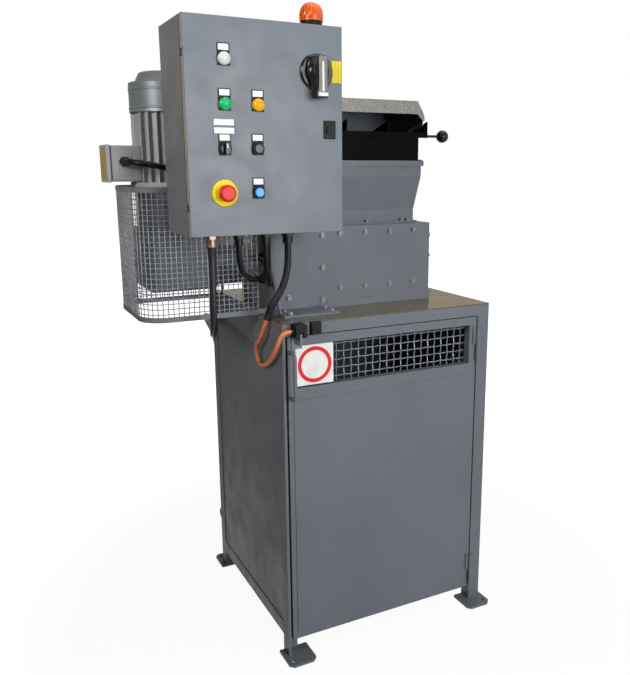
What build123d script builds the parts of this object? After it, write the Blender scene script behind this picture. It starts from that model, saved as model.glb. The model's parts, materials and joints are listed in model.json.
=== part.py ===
"""Hard drive shredder: a floor stand with a collection bin, a two-shaft cutting unit with its hopper,
a vertical geared motor in a mesh guard, and a control cabinet with its controls and cables.

Row frame in millimetres: +X to the right of the operator's side, +Y to the back, +Z up.
The origin is the centre of the floor anchor pattern, on the floor.
"""
from build123d import *
import os
from math import cos, pi, radians, sin, tan

# Stand
STAND_W = 680.0
STAND_D = 620.0
STAND_H = 1000.0
TUBE = 40.0
TUBE_WALL = 3.0
TOP_PLATE_T = 4.0
LOW_RAIL_Z = 58.0
FRONT_RAIL_Z = STAND_H - 36.0
PANEL_T = 2.0
PANEL_EDGE = 15.0
PANEL_GAP = 0.5
FOOT_T = 8.0
FOOT_W = 85.0
FOOT_D = 86.0
FOOT_CHAMFER = 12.0
FOOT_OUTREACH_X = 15.0
FOOT_OUTREACH_Y = 48.0
ANCHOR_X = 338.0
ANCHOR_Y = 336.0
ANCHOR_R = 6.5
LATCH_POST_T = 8.0

# Collection bin
BIN_W = 520.0
BIN_D = 480.0
BIN_H = 520.0
BIN_T = 2.0
BIN_RIM = 12.0
SHELF_T = 3.0
SEAT_GAP = 0.3

# Stand door
DOOR_X0 = -325.0
DOOR_X1 = 297.0
DOOR_Z0 = 55.0
DOOR_Z1 = STAND_H - 39.0
DOOR_TUBE = 25.0
DOOR_SET_BACK = 2.0
CROSS_Z0 = STAND_H - 219.0
CROSS_Z1 = STAND_H - 183.0
MESH_WIRE = 3.0
MESH_PITCH = 23.6
DOOR_PANEL_T = 2.0
HANDLE_ROD = 11.0
HANDLE_Z0 = STAND_H - 213.0
HANDLE_Z1 = STAND_H - 74.0
HANDLE_REACH = 35.0
HANDLE_BEND = 14.0
HINGE_R = 6.0
HINGE_PIN_R = 4.0
RUNNING_GAP = 0.05
HINGE_LEN = 108.0
HINGE_LEAF_T = 3.0
HINGE_LEAF_W = 15.0
UPPER_HINGE_Z = STAND_H - 178.0
SWITCH_X0 = -315.0
LOWER_HINGE_Z = 64.0

# Cutting unit
CHAMBER_X0 = -140.0
CHAMBER_X1 = 190.0
END_PLATE_T = 36.0
UNIT_X0 = -290.0
UNIT_Y = 145.0
WALL_T = 12.0
UNIT_Z1 = STAND_H + 237.0
BASE_H = 22.0
BASE_LIP = 6.0
SHAFT_Z = STAND_H + 135.0
SHAFT_Y = 60.0
HEX_AF = 54.0
JOURNAL_R = 25.0
BEARING_R = 45.0
CUTTER_R = 70.0
CUTTER_T = 20.0
CUTTER_PITCH = 41.0
CUTTER_COUNT = 8
HOOKS = 4
HOOK_DEPTH = 12.0
SPACER_R = 46.0
BORE_GAP = 0.3
CUTTER_GAP = 0.5
COMB_GAP = 1.5
GEAR_TEETH = 20
GEAR_MODULE = 6.0
GEAR_T = 40.0
GEAR_X = -250.0
COVER_T = 12.0
CAP_T = 6.0

# Hopper, feed box, tray and hood
NECK_X0 = -144.0
NECK_X1 = 193.0
NECK_Y = 100.0
HOPPER_T = 4.0
HOPPER_FLARE = 16.0
HOPPER_BEND_LOW = STAND_H + 278.0
HOPPER_BEND_HIGH = STAND_H + 378.0
HOPPER_Z1 = STAND_H + 424.0
HOPPER_FLANGE_H = 16.0
HOPPER_FLANGE_OUT = 6.0
HOPPER_FOOT_T = 6.0
HOPPER_FOOT_OUT = 14.0
BOX_INSET = 4.0
BOX_Z1 = STAND_H + 494.0
BOX_T = 3.0
BOX_FOOT = 9.0
TRAY_FLOOR_Y = 20.0
TRAY_LIP_Y = -112.0
TRAY_LIP_OUT = 14.0
TRAY_LIP_Z0 = STAND_H + 492.0
TRAY_LIP_Z1 = STAND_H + 508.0
CHEEK_TOP = STAND_H + 541.0
CHEEK_T = 3.0
DIVIDERS = (-46.0, 93.0)
HOOD_X0 = -170.0
HOOD_X1 = 217.0
HOOD_Y0 = -120.0
HOOD_Y1 = 112.0
HOOD_TOP = STAND_H + 599.0
HOOD_STRIP = 38.0
HOOD_T = 2.0
HOOD_CHAMFER = 25.0
HOOD_SIDE_IN = 7.0
LID_AXIS_Y = 122.0
LID_AXIS_Z = STAND_H + 484.0
EAR_X = (-120.0, 130.0)
EAR_W = 20.0
EAR_R = 7.0
LID_PIN_R = 4.0
FRAME_STRIP = 17.0
LEVER_R = 4.0
LEVER_Y = -103.0
LEVER_Z = STAND_H + 497.5
LEVER_END = 278.0
BALL_R = 19.0

# Drive
MOTOR_X = -517.0
GEARBOX_Z0 = STAND_H + 61.0
GEARBOX_Z1 = STAND_H + 222.0
GEARBOX_HALF = 102.0
GEARBOX_Y = 90.0
LANTERN_R = 114.0
FLANGE_Z = STAND_H + 352.0
FLANGE_T = 12.0
MOTOR_R = 96.0
FIN_R = 110.0
FIN_COUNT = 28
FIN_T = 4.0
COWL_R = 107.0
COWL_Z0 = STAND_H + 560.0
COWL_LAP = 10.0
COWL_Z1 = STAND_H + 636.0
COWL_TOP = STAND_H + 658.0
COWL_T = 3.0
MOTOR_SHAFT_R = 12.0
TERMINAL_X0 = -703.0
TERMINAL_Y0 = 10.0
TERMINAL_Z0 = STAND_H + 365.0
TERMINAL_H = 98.0
TERMINAL_LID = 10.0
ADAPTER_R = 82.0
COUPLING_R = 44.0

# Mesh guard
GUARD_X0 = -664.0
GUARD_X1 = -342.0
GUARD_Y0 = -147.0
GUARD_Y1 = 190.0
GUARD_Z0 = STAND_H - 2.0
GUARD_Z1 = STAND_H + 354.0
GUARD_R = 70.0
BAND_H = 14.0
BAND_T = 3.0
GUARD_PITCH = 37.0
GUARD_BAR = 5.0

# Control cabinet
CAB_X0 = -585.0
CAB_X1 = -185.0
CAB_Y0 = -360.0
CAB_Y1 = -151.0
CAB_Z0 = STAND_H + 242.0
CAB_H = 500.0
CAB_Z1 = CAB_Z0 + CAB_H
CAB_T = 2.0
DOOR_DEPTH = 20.0
DOOR_GAP = 2.0
CAB_AXIS_X = -579.0
CAB_AXIS_Y = -352.0
CAB_HINGES = (CAB_Z0 + 60.0, CAB_Z0 + 410.0)
LUG_H = 14.0
LUG_R = 5.0
LUG_PIN_R = 3.0
BRACKET_X0 = -305.0
BRACKET_X1 = -135.0
BRACKET_T = 6.0
BRACKET_TOP = STAND_H + 700.0
BRACKET_FLANGE = 20.0
BRACKET_FOOT_Y = -245.0

# Controls on the cabinet door: X and Z of each centre
LAMPS = ((-491.0, CAB_Z0 + 407.0), (-492.0, CAB_Z0 + 307.0), (-410.0, CAB_Z0 + 307.0))
SELECTOR = (-495.0, CAB_Z0 + 205.0)
BLACK_BUTTON = (-413.0, CAB_Z0 + 206.0)
BLUE_BUTTON = (-414.0, CAB_Z0 + 103.0)
STOP = (-499.0, CAB_Z0 + 102.0)
MAIN_SWITCH = (-256.0, CAB_Z0 + 390.0)
LOCK = (-221.0, CAB_Z0 + 254.0)
LABEL_ROWS = (CAB_Z0 + 265.5, CAB_Z0 + 246.5)
LABEL_X = -495.5
CONTROL_R = 14.5
STEM_R = 10.9
HOLE_R = 11.25
PANEL_NUT_R = 14.0
BLOCK_DEPTH = 34.0

# Beacon and glands
BEACON_X = -218.0
BEACON_Y = -252.0
BEACON_R = 31.0
GLAND_Y = -250.0
GLANDS = ((-504.0, 15.0), (-431.0, 13.0), (-357.0, 13.0), (-294.0, 16.0))
GLAND_LEN = 36.0

# Cables: diameter and the points of each route, chosen by hand
CORD_FILLET_SHARE = 0.45
SUPPLY_D = 18.0
SUPPLY_ROUTE = (
    (-504, -250, 1206), (-504, -250, 1140), (-505, -249, 1080), (-505, -246, 1030), (-499, -223, 986),
    (-488, -180, 958), (-463, -96, 952), (-430, 20, 950), (-405, 130, 946), (-388, 235, 934),
    (-358, 326, 900), (-318, 378, 842), (-296, 398, 750), (-288, 400, 620), (-278, 404, 450),
    (-272, 402, 290), (-262, 404, 165), (-238, 410, 80), (-190, 421, 29), (-120, 436, 12),
    (-50, 441, 9), (24, 443.5, 9),
)
COIL_CENTRE = (60.0, 551.5)
COIL_MEAN_R = 99.0
COIL_COLUMNS = 2
COIL_ROWS = 2
PLUG_ROUTE = ((36, 659.5, 27), (-20, 659.5, 27), (-66, 655, 32.5), (-112, 645, 32.5))
PLUG_R = 32.0
PLUG_LEN = 130.0
MOTOR_D = 16.0
MOTOR_ROUTE = (
    (-656, -17, 1419), (-656, -50, 1419), (-634, -76, 1415), (-598, -84, 1409), (-560, -82, 1402),
    (-522, -76, 1396), (-500, -98, 1392), (-500, -126, 1392),
)
CONTROL_D = 15.0
CONTROL_ROUTES = (
    ((-431, -250, 1206), (-431, -250, 1168), (-422, -244, 1132), (-392, -232, 1110), (-360, -215, 1112),
     (-334, -194, 1128), (-325, -160, 1144), (-326, -122, 1152), (-338, -90, 1154), (-326, -66, 1154),
     (-303, -66, 1154)),
    ((-357, -250, 1206), (-357, -250, 1165), (-352, -242, 1128), (-341, -222, 1100), (-326, -188, 1090),
     (-325, -148, 1090), (-337, -108, 1090), (-326, -84, 1090), (-303, -84, 1090)),
)
CONDUIT_D = 18.0
CONDUIT_ROUTE = (
    (-294, -250, 1206), (-294, -250, 1152), (-304, -248, 1102), (-324, -244, 1062), (-344, -238, 1032),
    (-352, -230, 1000),
)
SCREENED_D = 9.0
SCREENED_ROUTE = (
    (-352, -230, 1000), (-360, -222, 968), (-361, -196, 936), (-358, -160, 918), (-355, -146, 884),
    (-353, -172, 858), (-352, -212, 866), (-354, -250, 886), (-357, -288, 914), (-359, -320, 945),
    (-348, -327, 981), (-323, -327, 981),
)


def block(x0, x1, y0, y1, z0, z1):
    """Box between two corners."""
    centre = ((x0 + x1) / 2, (y0 + y1) / 2, (z0 + z1) / 2)
    return Pos(*centre) * Box(abs(x1 - x0), abs(y1 - y0), abs(z1 - z0))


def rod(start, direction, radius, length, inner=0.0):
    """Round bar or tube from a start point along a direction."""
    ring = Plane(origin=start, z_dir=direction) * Circle(radius)
    if inner:
        ring -= Plane(origin=start, z_dir=direction) * Circle(inner)
    return extrude(ring, length)


def hex_bar(start, direction, across_flats, length):
    """Hexagonal bar from a start point along a direction."""
    outline = RegularPolygon(across_flats / 2 / cos(pi / 6), 6)
    side = (0, 1, 0) if direction[0] else (1, 0, 0)
    return extrude(Plane(origin=start, x_dir=side, z_dir=direction) * outline, length)


def tube_along(axis, start, length, side=TUBE, wall=TUBE_WALL):
    """Square tube whose lowest corner is at start, along one axis."""
    size = [side] * 3
    size["xyz".index(axis)] = length
    x, y, z = start
    outer = block(x, x + size[0], y, y + size[1], z, z + size[2])
    inset = [wall] * 3
    inset["xyz".index(axis)] = 0.0
    inner = block(x + inset[0], x + size[0] - inset[0], y + inset[1], y + size[1] - inset[1],
                  z + inset[2], z + size[2] - inset[2])
    return outer - inner


def prism_x(points, x0, x1):
    """Outline given in Y and Z, extruded from x0 to x1."""
    face = make_face(Polyline(*[(x0, y, z) for y, z in points], close=True))
    return extrude(face, amount=x1 - x0, dir=(1, 0, 0))


def prism_y(points, y0, y1):
    """Outline given in X and Z, extruded from y0 to y1."""
    face = make_face(Polyline(*[(x, y0, z) for x, z in points], close=True))
    return extrude(face, amount=y1 - y0, dir=(0, 1, 0))


def mirrored(shape):
    return [shape, mirror(shape, about=Plane.YZ)]


# Stand

def stand_frame():
    """Welded members: three tube posts, an angle post beside the latch, rails, and the feet."""
    x, y = STAND_W / 2, STAND_D / 2
    post_h = STAND_H - TOP_PLATE_T - FOOT_T
    members = [tube_along("z", (x - TUBE, -y, FOOT_T), post_h),
               tube_along("z", (x - TUBE, y - TUBE, FOOT_T), post_h),
               tube_along("z", (-x, y - TUBE, FOOT_T), post_h)]
    side_flat = block(-x, -x + LATCH_POST_T, -y, -y + TUBE, FOOT_T, FOOT_T + post_h)
    back_flat = block(-x + LATCH_POST_T, -x + TUBE, -y + TUBE - LATCH_POST_T, -y + TUBE, FOOT_T, FOOT_T + post_h)
    members += [side_flat, back_flat]
    rail_z = STAND_H - TOP_PLATE_T - TUBE
    for z in (LOW_RAIL_Z, rail_z):
        for side_x in (-x, x - TUBE):
            members.append(tube_along("y", (side_x, -y + TUBE, z), STAND_D - 2 * TUBE))
        members.append(tube_along("x", (-x + TUBE, y - TUBE, z), STAND_W - 2 * TUBE))
    members.append(tube_along("x", (-x + TUBE, -y + TUBE, LOW_RAIL_Z), STAND_W - 2 * TUBE))
    front_x0, front_x1 = -x + LATCH_POST_T, x - TUBE
    front = block(front_x0, front_x1, -y, -y + TUBE, FRONT_RAIL_Z, STAND_H - TOP_PLATE_T)
    front -= block(front_x0 + 1, front_x1, -y + TUBE_WALL, -y + TUBE - TUBE_WALL,
                   FRONT_RAIL_Z + TUBE_WALL, STAND_H - TOP_PLATE_T - TUBE_WALL)
    members.append(front - back_flat)
    return members + feet()


def feet():
    """Four anchor plates with clipped outer corners."""
    x1 = STAND_W / 2 + FOOT_OUTREACH_X
    y1 = STAND_D / 2 + FOOT_OUTREACH_Y
    plate = Pos(x1 - FOOT_W / 2, y1 - FOOT_D / 2) * Rectangle(FOOT_W, FOOT_D)
    outer_corners = plate.vertices().filter_by(lambda v: v.Y > y1 - 1)
    plate = chamfer(outer_corners, FOOT_CHAMFER)
    plate -= Pos(ANCHOR_X, ANCHOR_Y) * Circle(ANCHOR_R)
    foot = extrude(plate, FOOT_T)
    back = mirrored(foot)
    return back + [mirror(piece, about=Plane.XZ) for piece in back]


def top_plate():
    """Stand top with the discharge opening under the cutters."""
    x, y = STAND_W / 2, STAND_D / 2
    plate = block(-x, x, -y, y, STAND_H - TOP_PLATE_T, STAND_H)
    mouth = block(CHAMBER_X0, CHAMBER_X1, -UNIT_Y + WALL_T, UNIT_Y - WALL_T, STAND_H - TUBE, STAND_H + 1)
    return plate - mouth


def pan(x0, x1, z0, z1, y_face, depth, thickness=PANEL_T):
    """Sheet with edges folded back, facing -Y."""
    outer = block(x0, x1, y_face, y_face + depth, z0, z1)
    inner = block(x0 + thickness, x1 - thickness, y_face + thickness, y_face + depth + 1,
                  z0 + thickness, z1 - thickness)
    return outer - inner


def stand_panels():
    """Left, right and rear sheets with folded edges, and the shelf that carries the bin."""
    x, y = STAND_W / 2, STAND_D / 2
    z0 = LOW_RAIL_Z + TUBE + PANEL_GAP
    z1 = STAND_H - TOP_PLATE_T - TUBE - PANEL_GAP
    half_side = y - TUBE - PANEL_GAP
    side = pan(-half_side, half_side, z0, z1, -x + PANEL_T, PANEL_EDGE)
    left = Rot(0, 0, -90) * side
    right = Rot(0, 0, 90) * side
    half_rear = x - TUBE - PANEL_GAP
    rear = Rot(0, 0, 180) * pan(-half_rear, half_rear, z0, z1, -y + PANEL_T, PANEL_EDGE)
    shelf_x = x - TUBE / 2
    shelf_y = y - TUBE - 2
    shelf = block(-shelf_x, shelf_x, -shelf_y, shelf_y, LOW_RAIL_Z + TUBE, LOW_RAIL_Z + TUBE + SHELF_T)
    return [left, right, rear, shelf]


def collection_bin():
    """Open bin of a floor sheet and four rimmed wall sheets, with a hand slot in front and behind."""
    z0 = LOW_RAIL_Z + TUBE + SHELF_T
    top = z0 + BIN_H
    half_w, half_d = BIN_W / 2, BIN_D / 2
    floor = block(-half_w, half_w, -half_d, half_d, z0, z0 + BIN_T)
    side = block(half_w - BIN_T, half_w, -half_d + BIN_T, half_d - BIN_T, z0 + BIN_T, top)
    side += block(half_w, half_w + BIN_RIM, -half_d + BIN_T, half_d - BIN_T, top - BIN_T, top)
    back = block(-half_w, half_w, half_d - BIN_T, half_d, z0 + BIN_T, top)
    back += block(-half_w - BIN_RIM, half_w + BIN_RIM, half_d - BIN_T, half_d + BIN_RIM, top - BIN_T, top)
    back -= block(-60, 60, half_d - BIN_T - 1, half_d + 1, top - 70, top - 40)
    return [floor, side, Rot(0, 0, 180) * side, back, Rot(0, 0, 180) * back]


def hinge_axis():
    return (DOOR_X1 + 1.5, -STAND_D / 2 - HINGE_R)


def half_hinge(z0, lower):
    """Half of a weld-on hinge: barrel and leaf; the lower half carries the pin."""
    x, y = hinge_axis()
    half = HINGE_LEN / 2
    side = 1 if lower else -1
    z = z0 if lower else z0 + half + SEAT_GAP
    length = half if lower else half - SEAT_GAP
    leaf = block(x, x + side * HINGE_LEAF_W, -STAND_D / 2 - HINGE_LEAF_T, -STAND_D / 2, z, z + length)
    if lower:
        barrel = rod((x, y, z), (0, 0, 1), HINGE_R, length)
        return barrel + leaf + rod((x, y, z), (0, 0, 1), HINGE_PIN_R, HINGE_LEN - 4)
    bore = rod((x, y, z - 1), (0, 0, 1), HINGE_PIN_R + RUNNING_GAP, length + 2)
    return rod((x, y, z), (0, 0, 1), HINGE_R, length) + leaf - bore


def post_hinges():
    return [half_hinge(z, True) for z in (LOWER_HINGE_Z, UPPER_HINGE_Z)]


def door_hinges():
    """Door halves; each leaf has a pad down to the door's frame."""
    halves = []
    y = -STAND_D / 2
    x = hinge_axis()[0]
    for z in (LOWER_HINGE_Z, UPPER_HINGE_Z):
        z0 = z + HINGE_LEN / 2 + SEAT_GAP
        pad = block(x - HINGE_LEAF_W, DOOR_X1, y - 1, y + DOOR_SET_BACK, z0, z + HINGE_LEN)
        halves.append(half_hinge(z, False) + pad)
    return halves


def door_frame():
    """Square tube frame with a cross member under the window."""
    y = -STAND_D / 2 + DOOR_SET_BACK
    height = DOOR_Z1 - DOOR_Z0
    width = DOOR_X1 - DOOR_X0 - 2 * DOOR_TUBE
    frame = tube_along("z", (DOOR_X0, y, DOOR_Z0), height, DOOR_TUBE, PANEL_T)
    frame += tube_along("z", (DOOR_X1 - DOOR_TUBE, y, DOOR_Z0), height, DOOR_TUBE, PANEL_T)
    for z in (DOOR_Z0, DOOR_Z1 - DOOR_TUBE):
        frame += tube_along("x", (DOOR_X0 + DOOR_TUBE, y, z), width, DOOR_TUBE, PANEL_T)
    cross = block(DOOR_X0 + DOOR_TUBE, DOOR_X1 - DOOR_TUBE, y, y + DOOR_TUBE, CROSS_Z0, CROSS_Z1)
    cross -= block(DOOR_X0, DOOR_X1, y + PANEL_T, y + DOOR_TUBE - PANEL_T, CROSS_Z0 + PANEL_T, CROSS_Z1 - PANEL_T)
    return frame + cross


def door_panel():
    """Flat sheet laid on the frame below the window."""
    y = -STAND_D / 2 + DOOR_SET_BACK
    inset = DOOR_TUBE * 0.6
    return block(DOOR_X0 + inset, DOOR_X1 - DOOR_TUBE, y - DOOR_PANEL_T, y, DOOR_Z0 + DOOR_TUBE, CROSS_Z0 + 2)


def door_mesh():
    """Welded wire mesh behind the window, with its ends on the frame's back."""
    y = -STAND_D / 2 + DOOR_SET_BACK + DOOR_TUBE
    overlap = 8.0
    x0, x1 = DOOR_X0 + DOOR_TUBE - overlap, DOOR_X1 - DOOR_TUBE + overlap
    z0, z1 = CROSS_Z1 - overlap, DOOR_Z1 - DOOR_TUBE + overlap
    columns = int((x1 - x0) / MESH_PITCH)
    rows = int((z1 - z0) / MESH_PITCH)
    centre = Plane(origin=((x0 + x1) / 2, y, (z0 + z1) / 2), x_dir=(1, 0, 0), z_dir=(0, 1, 0))
    sheet = Rectangle(x1 - x0, z1 - z0)
    opening = MESH_PITCH - MESH_WIRE
    sheet -= GridLocations(MESH_PITCH, MESH_PITCH, columns, rows) * Rectangle(opening, opening)
    return extrude(centre * sheet, MESH_WIRE)


def door_handle():
    """Bent round bar with both feet on the latch stile."""
    x = DOOR_X0 + DOOR_TUBE / 2 - 7
    y = -STAND_D / 2 + DOOR_SET_BACK
    z0, z1 = HANDLE_Z0 + HANDLE_ROD / 2, HANDLE_Z1 - HANDLE_ROD / 2
    path = FilletPolyline((x, y, z0), (x, y - HANDLE_REACH, z0), (x, y - HANDLE_REACH, z1), (x, y, z1),
                          radius=HANDLE_BEND)
    return sweep(Plane(origin=(x, y, z0), z_dir=(0, -1, 0)) * Circle(HANDLE_ROD / 2), path=path)


def interlock_switch():
    """Switch body on the top rail with a slot for the key, and the block beside it."""
    y = -STAND_D / 2
    z = STAND_H
    body = fillet(block(SWITCH_X0, -282, y - 34, y, z - 37, z).edges().filter_by(Axis.Y), 3)
    body -= block(-304, -293, y - 40, y - 12, z - 45, z - 22)
    cover = chamfer(block(-260, -230, y - 12, y, z - 36, z - 1).faces().sort_by(Axis.Y)[0].edges(), 2)
    return [body, cover]


def interlock_key():
    """Angle bracket on the door with the tongue that stands in the switch."""
    y = -STAND_D / 2
    z = DOOR_Z1
    foot = block(-314, -284, y + DOOR_SET_BACK - 4, y + DOOR_SET_BACK, z - 33, z - 5)
    arm = block(-301, -296, y - 30, y, z - 21, z - 5)
    tongue = block(-301, -296, y - 30, y - 16, z - 11, z + 13)
    return foot + arm + tongue


# Cutting unit

def base_frame():
    """Thick ring under the housing, with a lip in front and at the right."""
    ring = block(UNIT_X0, CHAMBER_X1 + END_PLATE_T, -UNIT_Y, UNIT_Y, STAND_H, STAND_H + BASE_H)
    ring += block(BRACKET_X1 + 1, CHAMBER_X1 + END_PLATE_T, -UNIT_Y - BASE_LIP, -UNIT_Y, STAND_H, STAND_H + BASE_H)
    ring -= block(CHAMBER_X0, CHAMBER_X1, -UNIT_Y + WALL_T, UNIT_Y - WALL_T, STAND_H - 1, STAND_H + BASE_H + 1)
    return ring


def housing_plates():
    """Front and rear plates between the bearing plates."""
    front = block(CHAMBER_X0, CHAMBER_X1, -UNIT_Y, -UNIT_Y + WALL_T, STAND_H + BASE_H, UNIT_Z1)
    front += block(CHAMBER_X0, CHAMBER_X1, -UNIT_Y, -NECK_Y + HOPPER_T, UNIT_Z1 - WALL_T, UNIT_Z1)
    return [front, mirror(front, about=Plane.XZ)]


def bearing_plates():
    """Left and right thick plates with a bore for each bearing."""
    plates = []
    for x0 in (CHAMBER_X0 - END_PLATE_T, CHAMBER_X1):
        plate = block(x0, x0 + END_PLATE_T, -UNIT_Y, UNIT_Y, STAND_H + BASE_H, UNIT_Z1)
        for y in (-SHAFT_Y, SHAFT_Y):
            plate -= rod((x0 - 1, y, SHAFT_Z), (1, 0, 0), BEARING_R, END_PLATE_T + 2)
        plates.append(plate)
    return plates


def shaft_bearings():
    """One bearing at each journal; those at the right carry a flush cap."""
    rings = []
    for x0, capped in ((CHAMBER_X0 - END_PLATE_T, False), (CHAMBER_X1, True)):
        for y in (-SHAFT_Y, SHAFT_Y):
            ring = rod((x0, y, SHAFT_Z), (1, 0, 0), BEARING_R, END_PLATE_T)
            depth = END_PLATE_T - CAP_T if capped else END_PLATE_T + 2
            start = x0 - 1
            ring -= rod((start, y, SHAFT_Z), (1, 0, 0), JOURNAL_R + RUNNING_GAP, depth + (1 if capped else 0))
            rings.append(ring)
    return rings


def gear_case():
    """Open case for the two gears, and its cover with the drive bore."""
    x1 = CHAMBER_X0 - END_PLATE_T
    x0 = UNIT_X0 + COVER_T
    case = block(x0, x1, -UNIT_Y, UNIT_Y, STAND_H + BASE_H, UNIT_Z1)
    case -= block(x0 - 1, x1 + 1, -UNIT_Y + WALL_T, UNIT_Y - WALL_T, STAND_H + BASE_H + WALL_T, UNIT_Z1 - WALL_T)
    cover = block(UNIT_X0, x0, -UNIT_Y, UNIT_Y, STAND_H + BASE_H, UNIT_Z1)
    cover -= rod((UNIT_X0 - 1, SHAFT_Y, SHAFT_Z), (1, 0, 0), JOURNAL_R + 2, COVER_T + 2)
    return [case, cover]


def cutter_outline():
    """Disc with hooked teeth: a steep face, then a long back down to the next root."""
    root = CUTTER_R - HOOK_DEPTH
    points = []
    steps = 5
    for hook in range(HOOKS):
        start = 2 * pi * hook / HOOKS
        points.append((root * cos(start), root * sin(start)))
        for step in range(steps + 1):
            share = step / steps
            angle = start + 0.10 + share * (2 * pi / HOOKS - 0.22)
            radius = CUTTER_R - HOOK_DEPTH * share ** 1.6 * 0.85
            points.append((radius * cos(angle), radius * sin(angle)))
    return make_face(Polyline(*points, close=True))


def cutter_pack(y, first_is_cutter):
    """Cutters and spacers in turn along one hexagonal shaft."""
    pieces = []
    spacer_t = CUTTER_PITCH - CUTTER_T - 2 * BORE_GAP
    hexagon = RegularPolygon((HEX_AF / 2 + BORE_GAP) / cos(pi / 6), 6)
    turn = 1 if y < 0 else -1
    for index in range(CUTTER_COUNT):
        x = CHAMBER_X0 + 1 + index * CUTTER_PITCH
        cutter_x = x if first_is_cutter else x + CUTTER_T + CUTTER_GAP
        spacer_x = cutter_x + (CUTTER_T if first_is_cutter else CUTTER_T - CUTTER_PITCH) + BORE_GAP
        spiral = Rot(0, 0, 360 / HOOKS * index / CUTTER_COUNT)
        outline = spiral * cutter_outline()
        if turn < 0:
            outline = mirror(outline, about=Plane.YZ)
        disc = outline - hexagon
        ring = Circle(SPACER_R) - hexagon
        pieces.append(extrude(Plane(origin=(cutter_x, y, SHAFT_Z), x_dir=(0, 1, 0), z_dir=(1, 0, 0)) * disc, CUTTER_T))
        pieces.append(extrude(Plane(origin=(spacer_x, y, SHAFT_Z), x_dir=(0, 1, 0), z_dir=(1, 0, 0)) * ring, spacer_t))
    return pieces


def cutter_shaft(y, left_end):
    """Hexagonal shaft with a round journal at each end."""
    clear = 0.5
    body = hex_bar((CHAMBER_X0 + clear, y, SHAFT_Z), (1, 0, 0), HEX_AF, CHAMBER_X1 - CHAMBER_X0 - 2 * clear)
    right_end = CHAMBER_X1 + END_PLATE_T - CAP_T - 1
    return body + rod((left_end, y, SHAFT_Z), (1, 0, 0), JOURNAL_R, right_end - left_end)


def drive_coupling():
    """Flanged coupling between the gearbox hub and the rear cutter shaft."""
    x0 = MOTOR_X + GEARBOX_HALF + SEAT_GAP
    x1 = UNIT_X0 - 18
    hub = rod((x0, SHAFT_Y, SHAFT_Z), (1, 0, 0), COUPLING_R - 10, x1 - x0)
    hub += rod(((x0 + x1) / 2 - 12, SHAFT_Y, SHAFT_Z), (1, 0, 0), COUPLING_R, 24)
    return hub - rod((x1 - 41, SHAFT_Y, SHAFT_Z), (1, 0, 0), JOURNAL_R + RUNNING_GAP, 60)


def sync_gear(y):
    """Spur gear whose teeth mesh at a centre distance of the pitch diameter."""
    pitch_r = GEAR_TEETH * GEAR_MODULE / 2
    tip_r = pitch_r + 0.80 * GEAR_MODULE
    root_r = pitch_r - 1.15 * GEAR_MODULE
    step = 2 * pi / GEAR_TEETH
    offset = 0.0 if y < 0 else step / 2
    points = []
    for tooth in range(GEAR_TEETH):
        middle = tooth * step + offset
        for radius, half in ((root_r, 0.32), (pitch_r, 0.215), (tip_r, 0.105)):
            points.append((radius, middle - half * step))
        for radius, half in ((tip_r, 0.105), (pitch_r, 0.215), (root_r, 0.32)):
            points.append((radius, middle + half * step))
    outline = make_face(Polyline(*[(r * cos(a), r * sin(a)) for r, a in points], close=True))
    disc = outline - Circle(JOURNAL_R + RUNNING_GAP)
    return extrude(Plane(origin=(GEAR_X, y, SHAFT_Z), x_dir=(0, 1, 0), z_dir=(1, 0, 0)) * disc, GEAR_T)


def combs():
    """Stripper fingers that reach from both walls to the spacers."""
    fingers = []
    finger_t = CUTTER_PITCH - CUTTER_T - 2 * COMB_GAP
    for index in range(CUTTER_COUNT):
        x = CHAMBER_X0 + 1 + index * CUTTER_PITCH
        for y_sign, finger_x in ((-1, x + CUTTER_T + COMB_GAP), (1, x + COMB_GAP)):
            wall = y_sign * (UNIT_Y - WALL_T)
            reach = y_sign * (SHAFT_Y + 18)
            low, high = sorted((wall, reach))
            finger = block(finger_x, finger_x + finger_t, low, high, SHAFT_Z - 55, SHAFT_Z + 40)
            hollow = rod((finger_x - 1, y_sign * SHAFT_Y, SHAFT_Z), (1, 0, 0), SPACER_R + COMB_GAP, finger_t + 2)
            fingers.append(finger - hollow)
    return fingers


def screw(x, y, z, direction=(0, -1, 0), across=13.0, head=6.0):
    """Hexagon head screw seen from outside: washer and head."""
    washer = rod((x, y, z), direction, across * 0.75, 1.6)
    start = tuple(p + 1.6 * d for p, d in zip((x, y, z), direction))
    return washer + hex_bar(start, direction, across, head)


def unit_screws():
    """Screws on the housing front, bracket, end plate, hopper foot and stand top."""
    pieces = [screw(x, -UNIT_Y, z) for x in (-86, -2, 82, 166) for z in (STAND_H + 57, UNIT_Z1 - 20)]
    bracket_face = -UNIT_Y - BRACKET_T
    pieces += [screw(-147, bracket_face, STAND_H + rise) for rise in (26, 120, 214)]
    pieces += [screw(-254, bracket_face, STAND_H + 38)]
    right = CHAMBER_X1 + END_PLATE_T
    pieces += [screw(right, -132, STAND_H + rise, (1, 0, 0)) for rise in (135, 198)]
    foot_top = UNIT_Z1 + HOPPER_FOOT_T
    pieces += [screw(x, -NECK_Y - 7, foot_top, (0, 0, 1), 8.0, 5.0) for x in (-100, 24, 146, 168)]
    foot_plate = STAND_H + BRACKET_T
    pieces += [screw(x, y, foot_plate, (0, 0, 1)) for x, y in ((-281, -184), (-281, -230), (-155, -184), (-155, -230))]
    return pieces


# Hopper and feed

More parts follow.
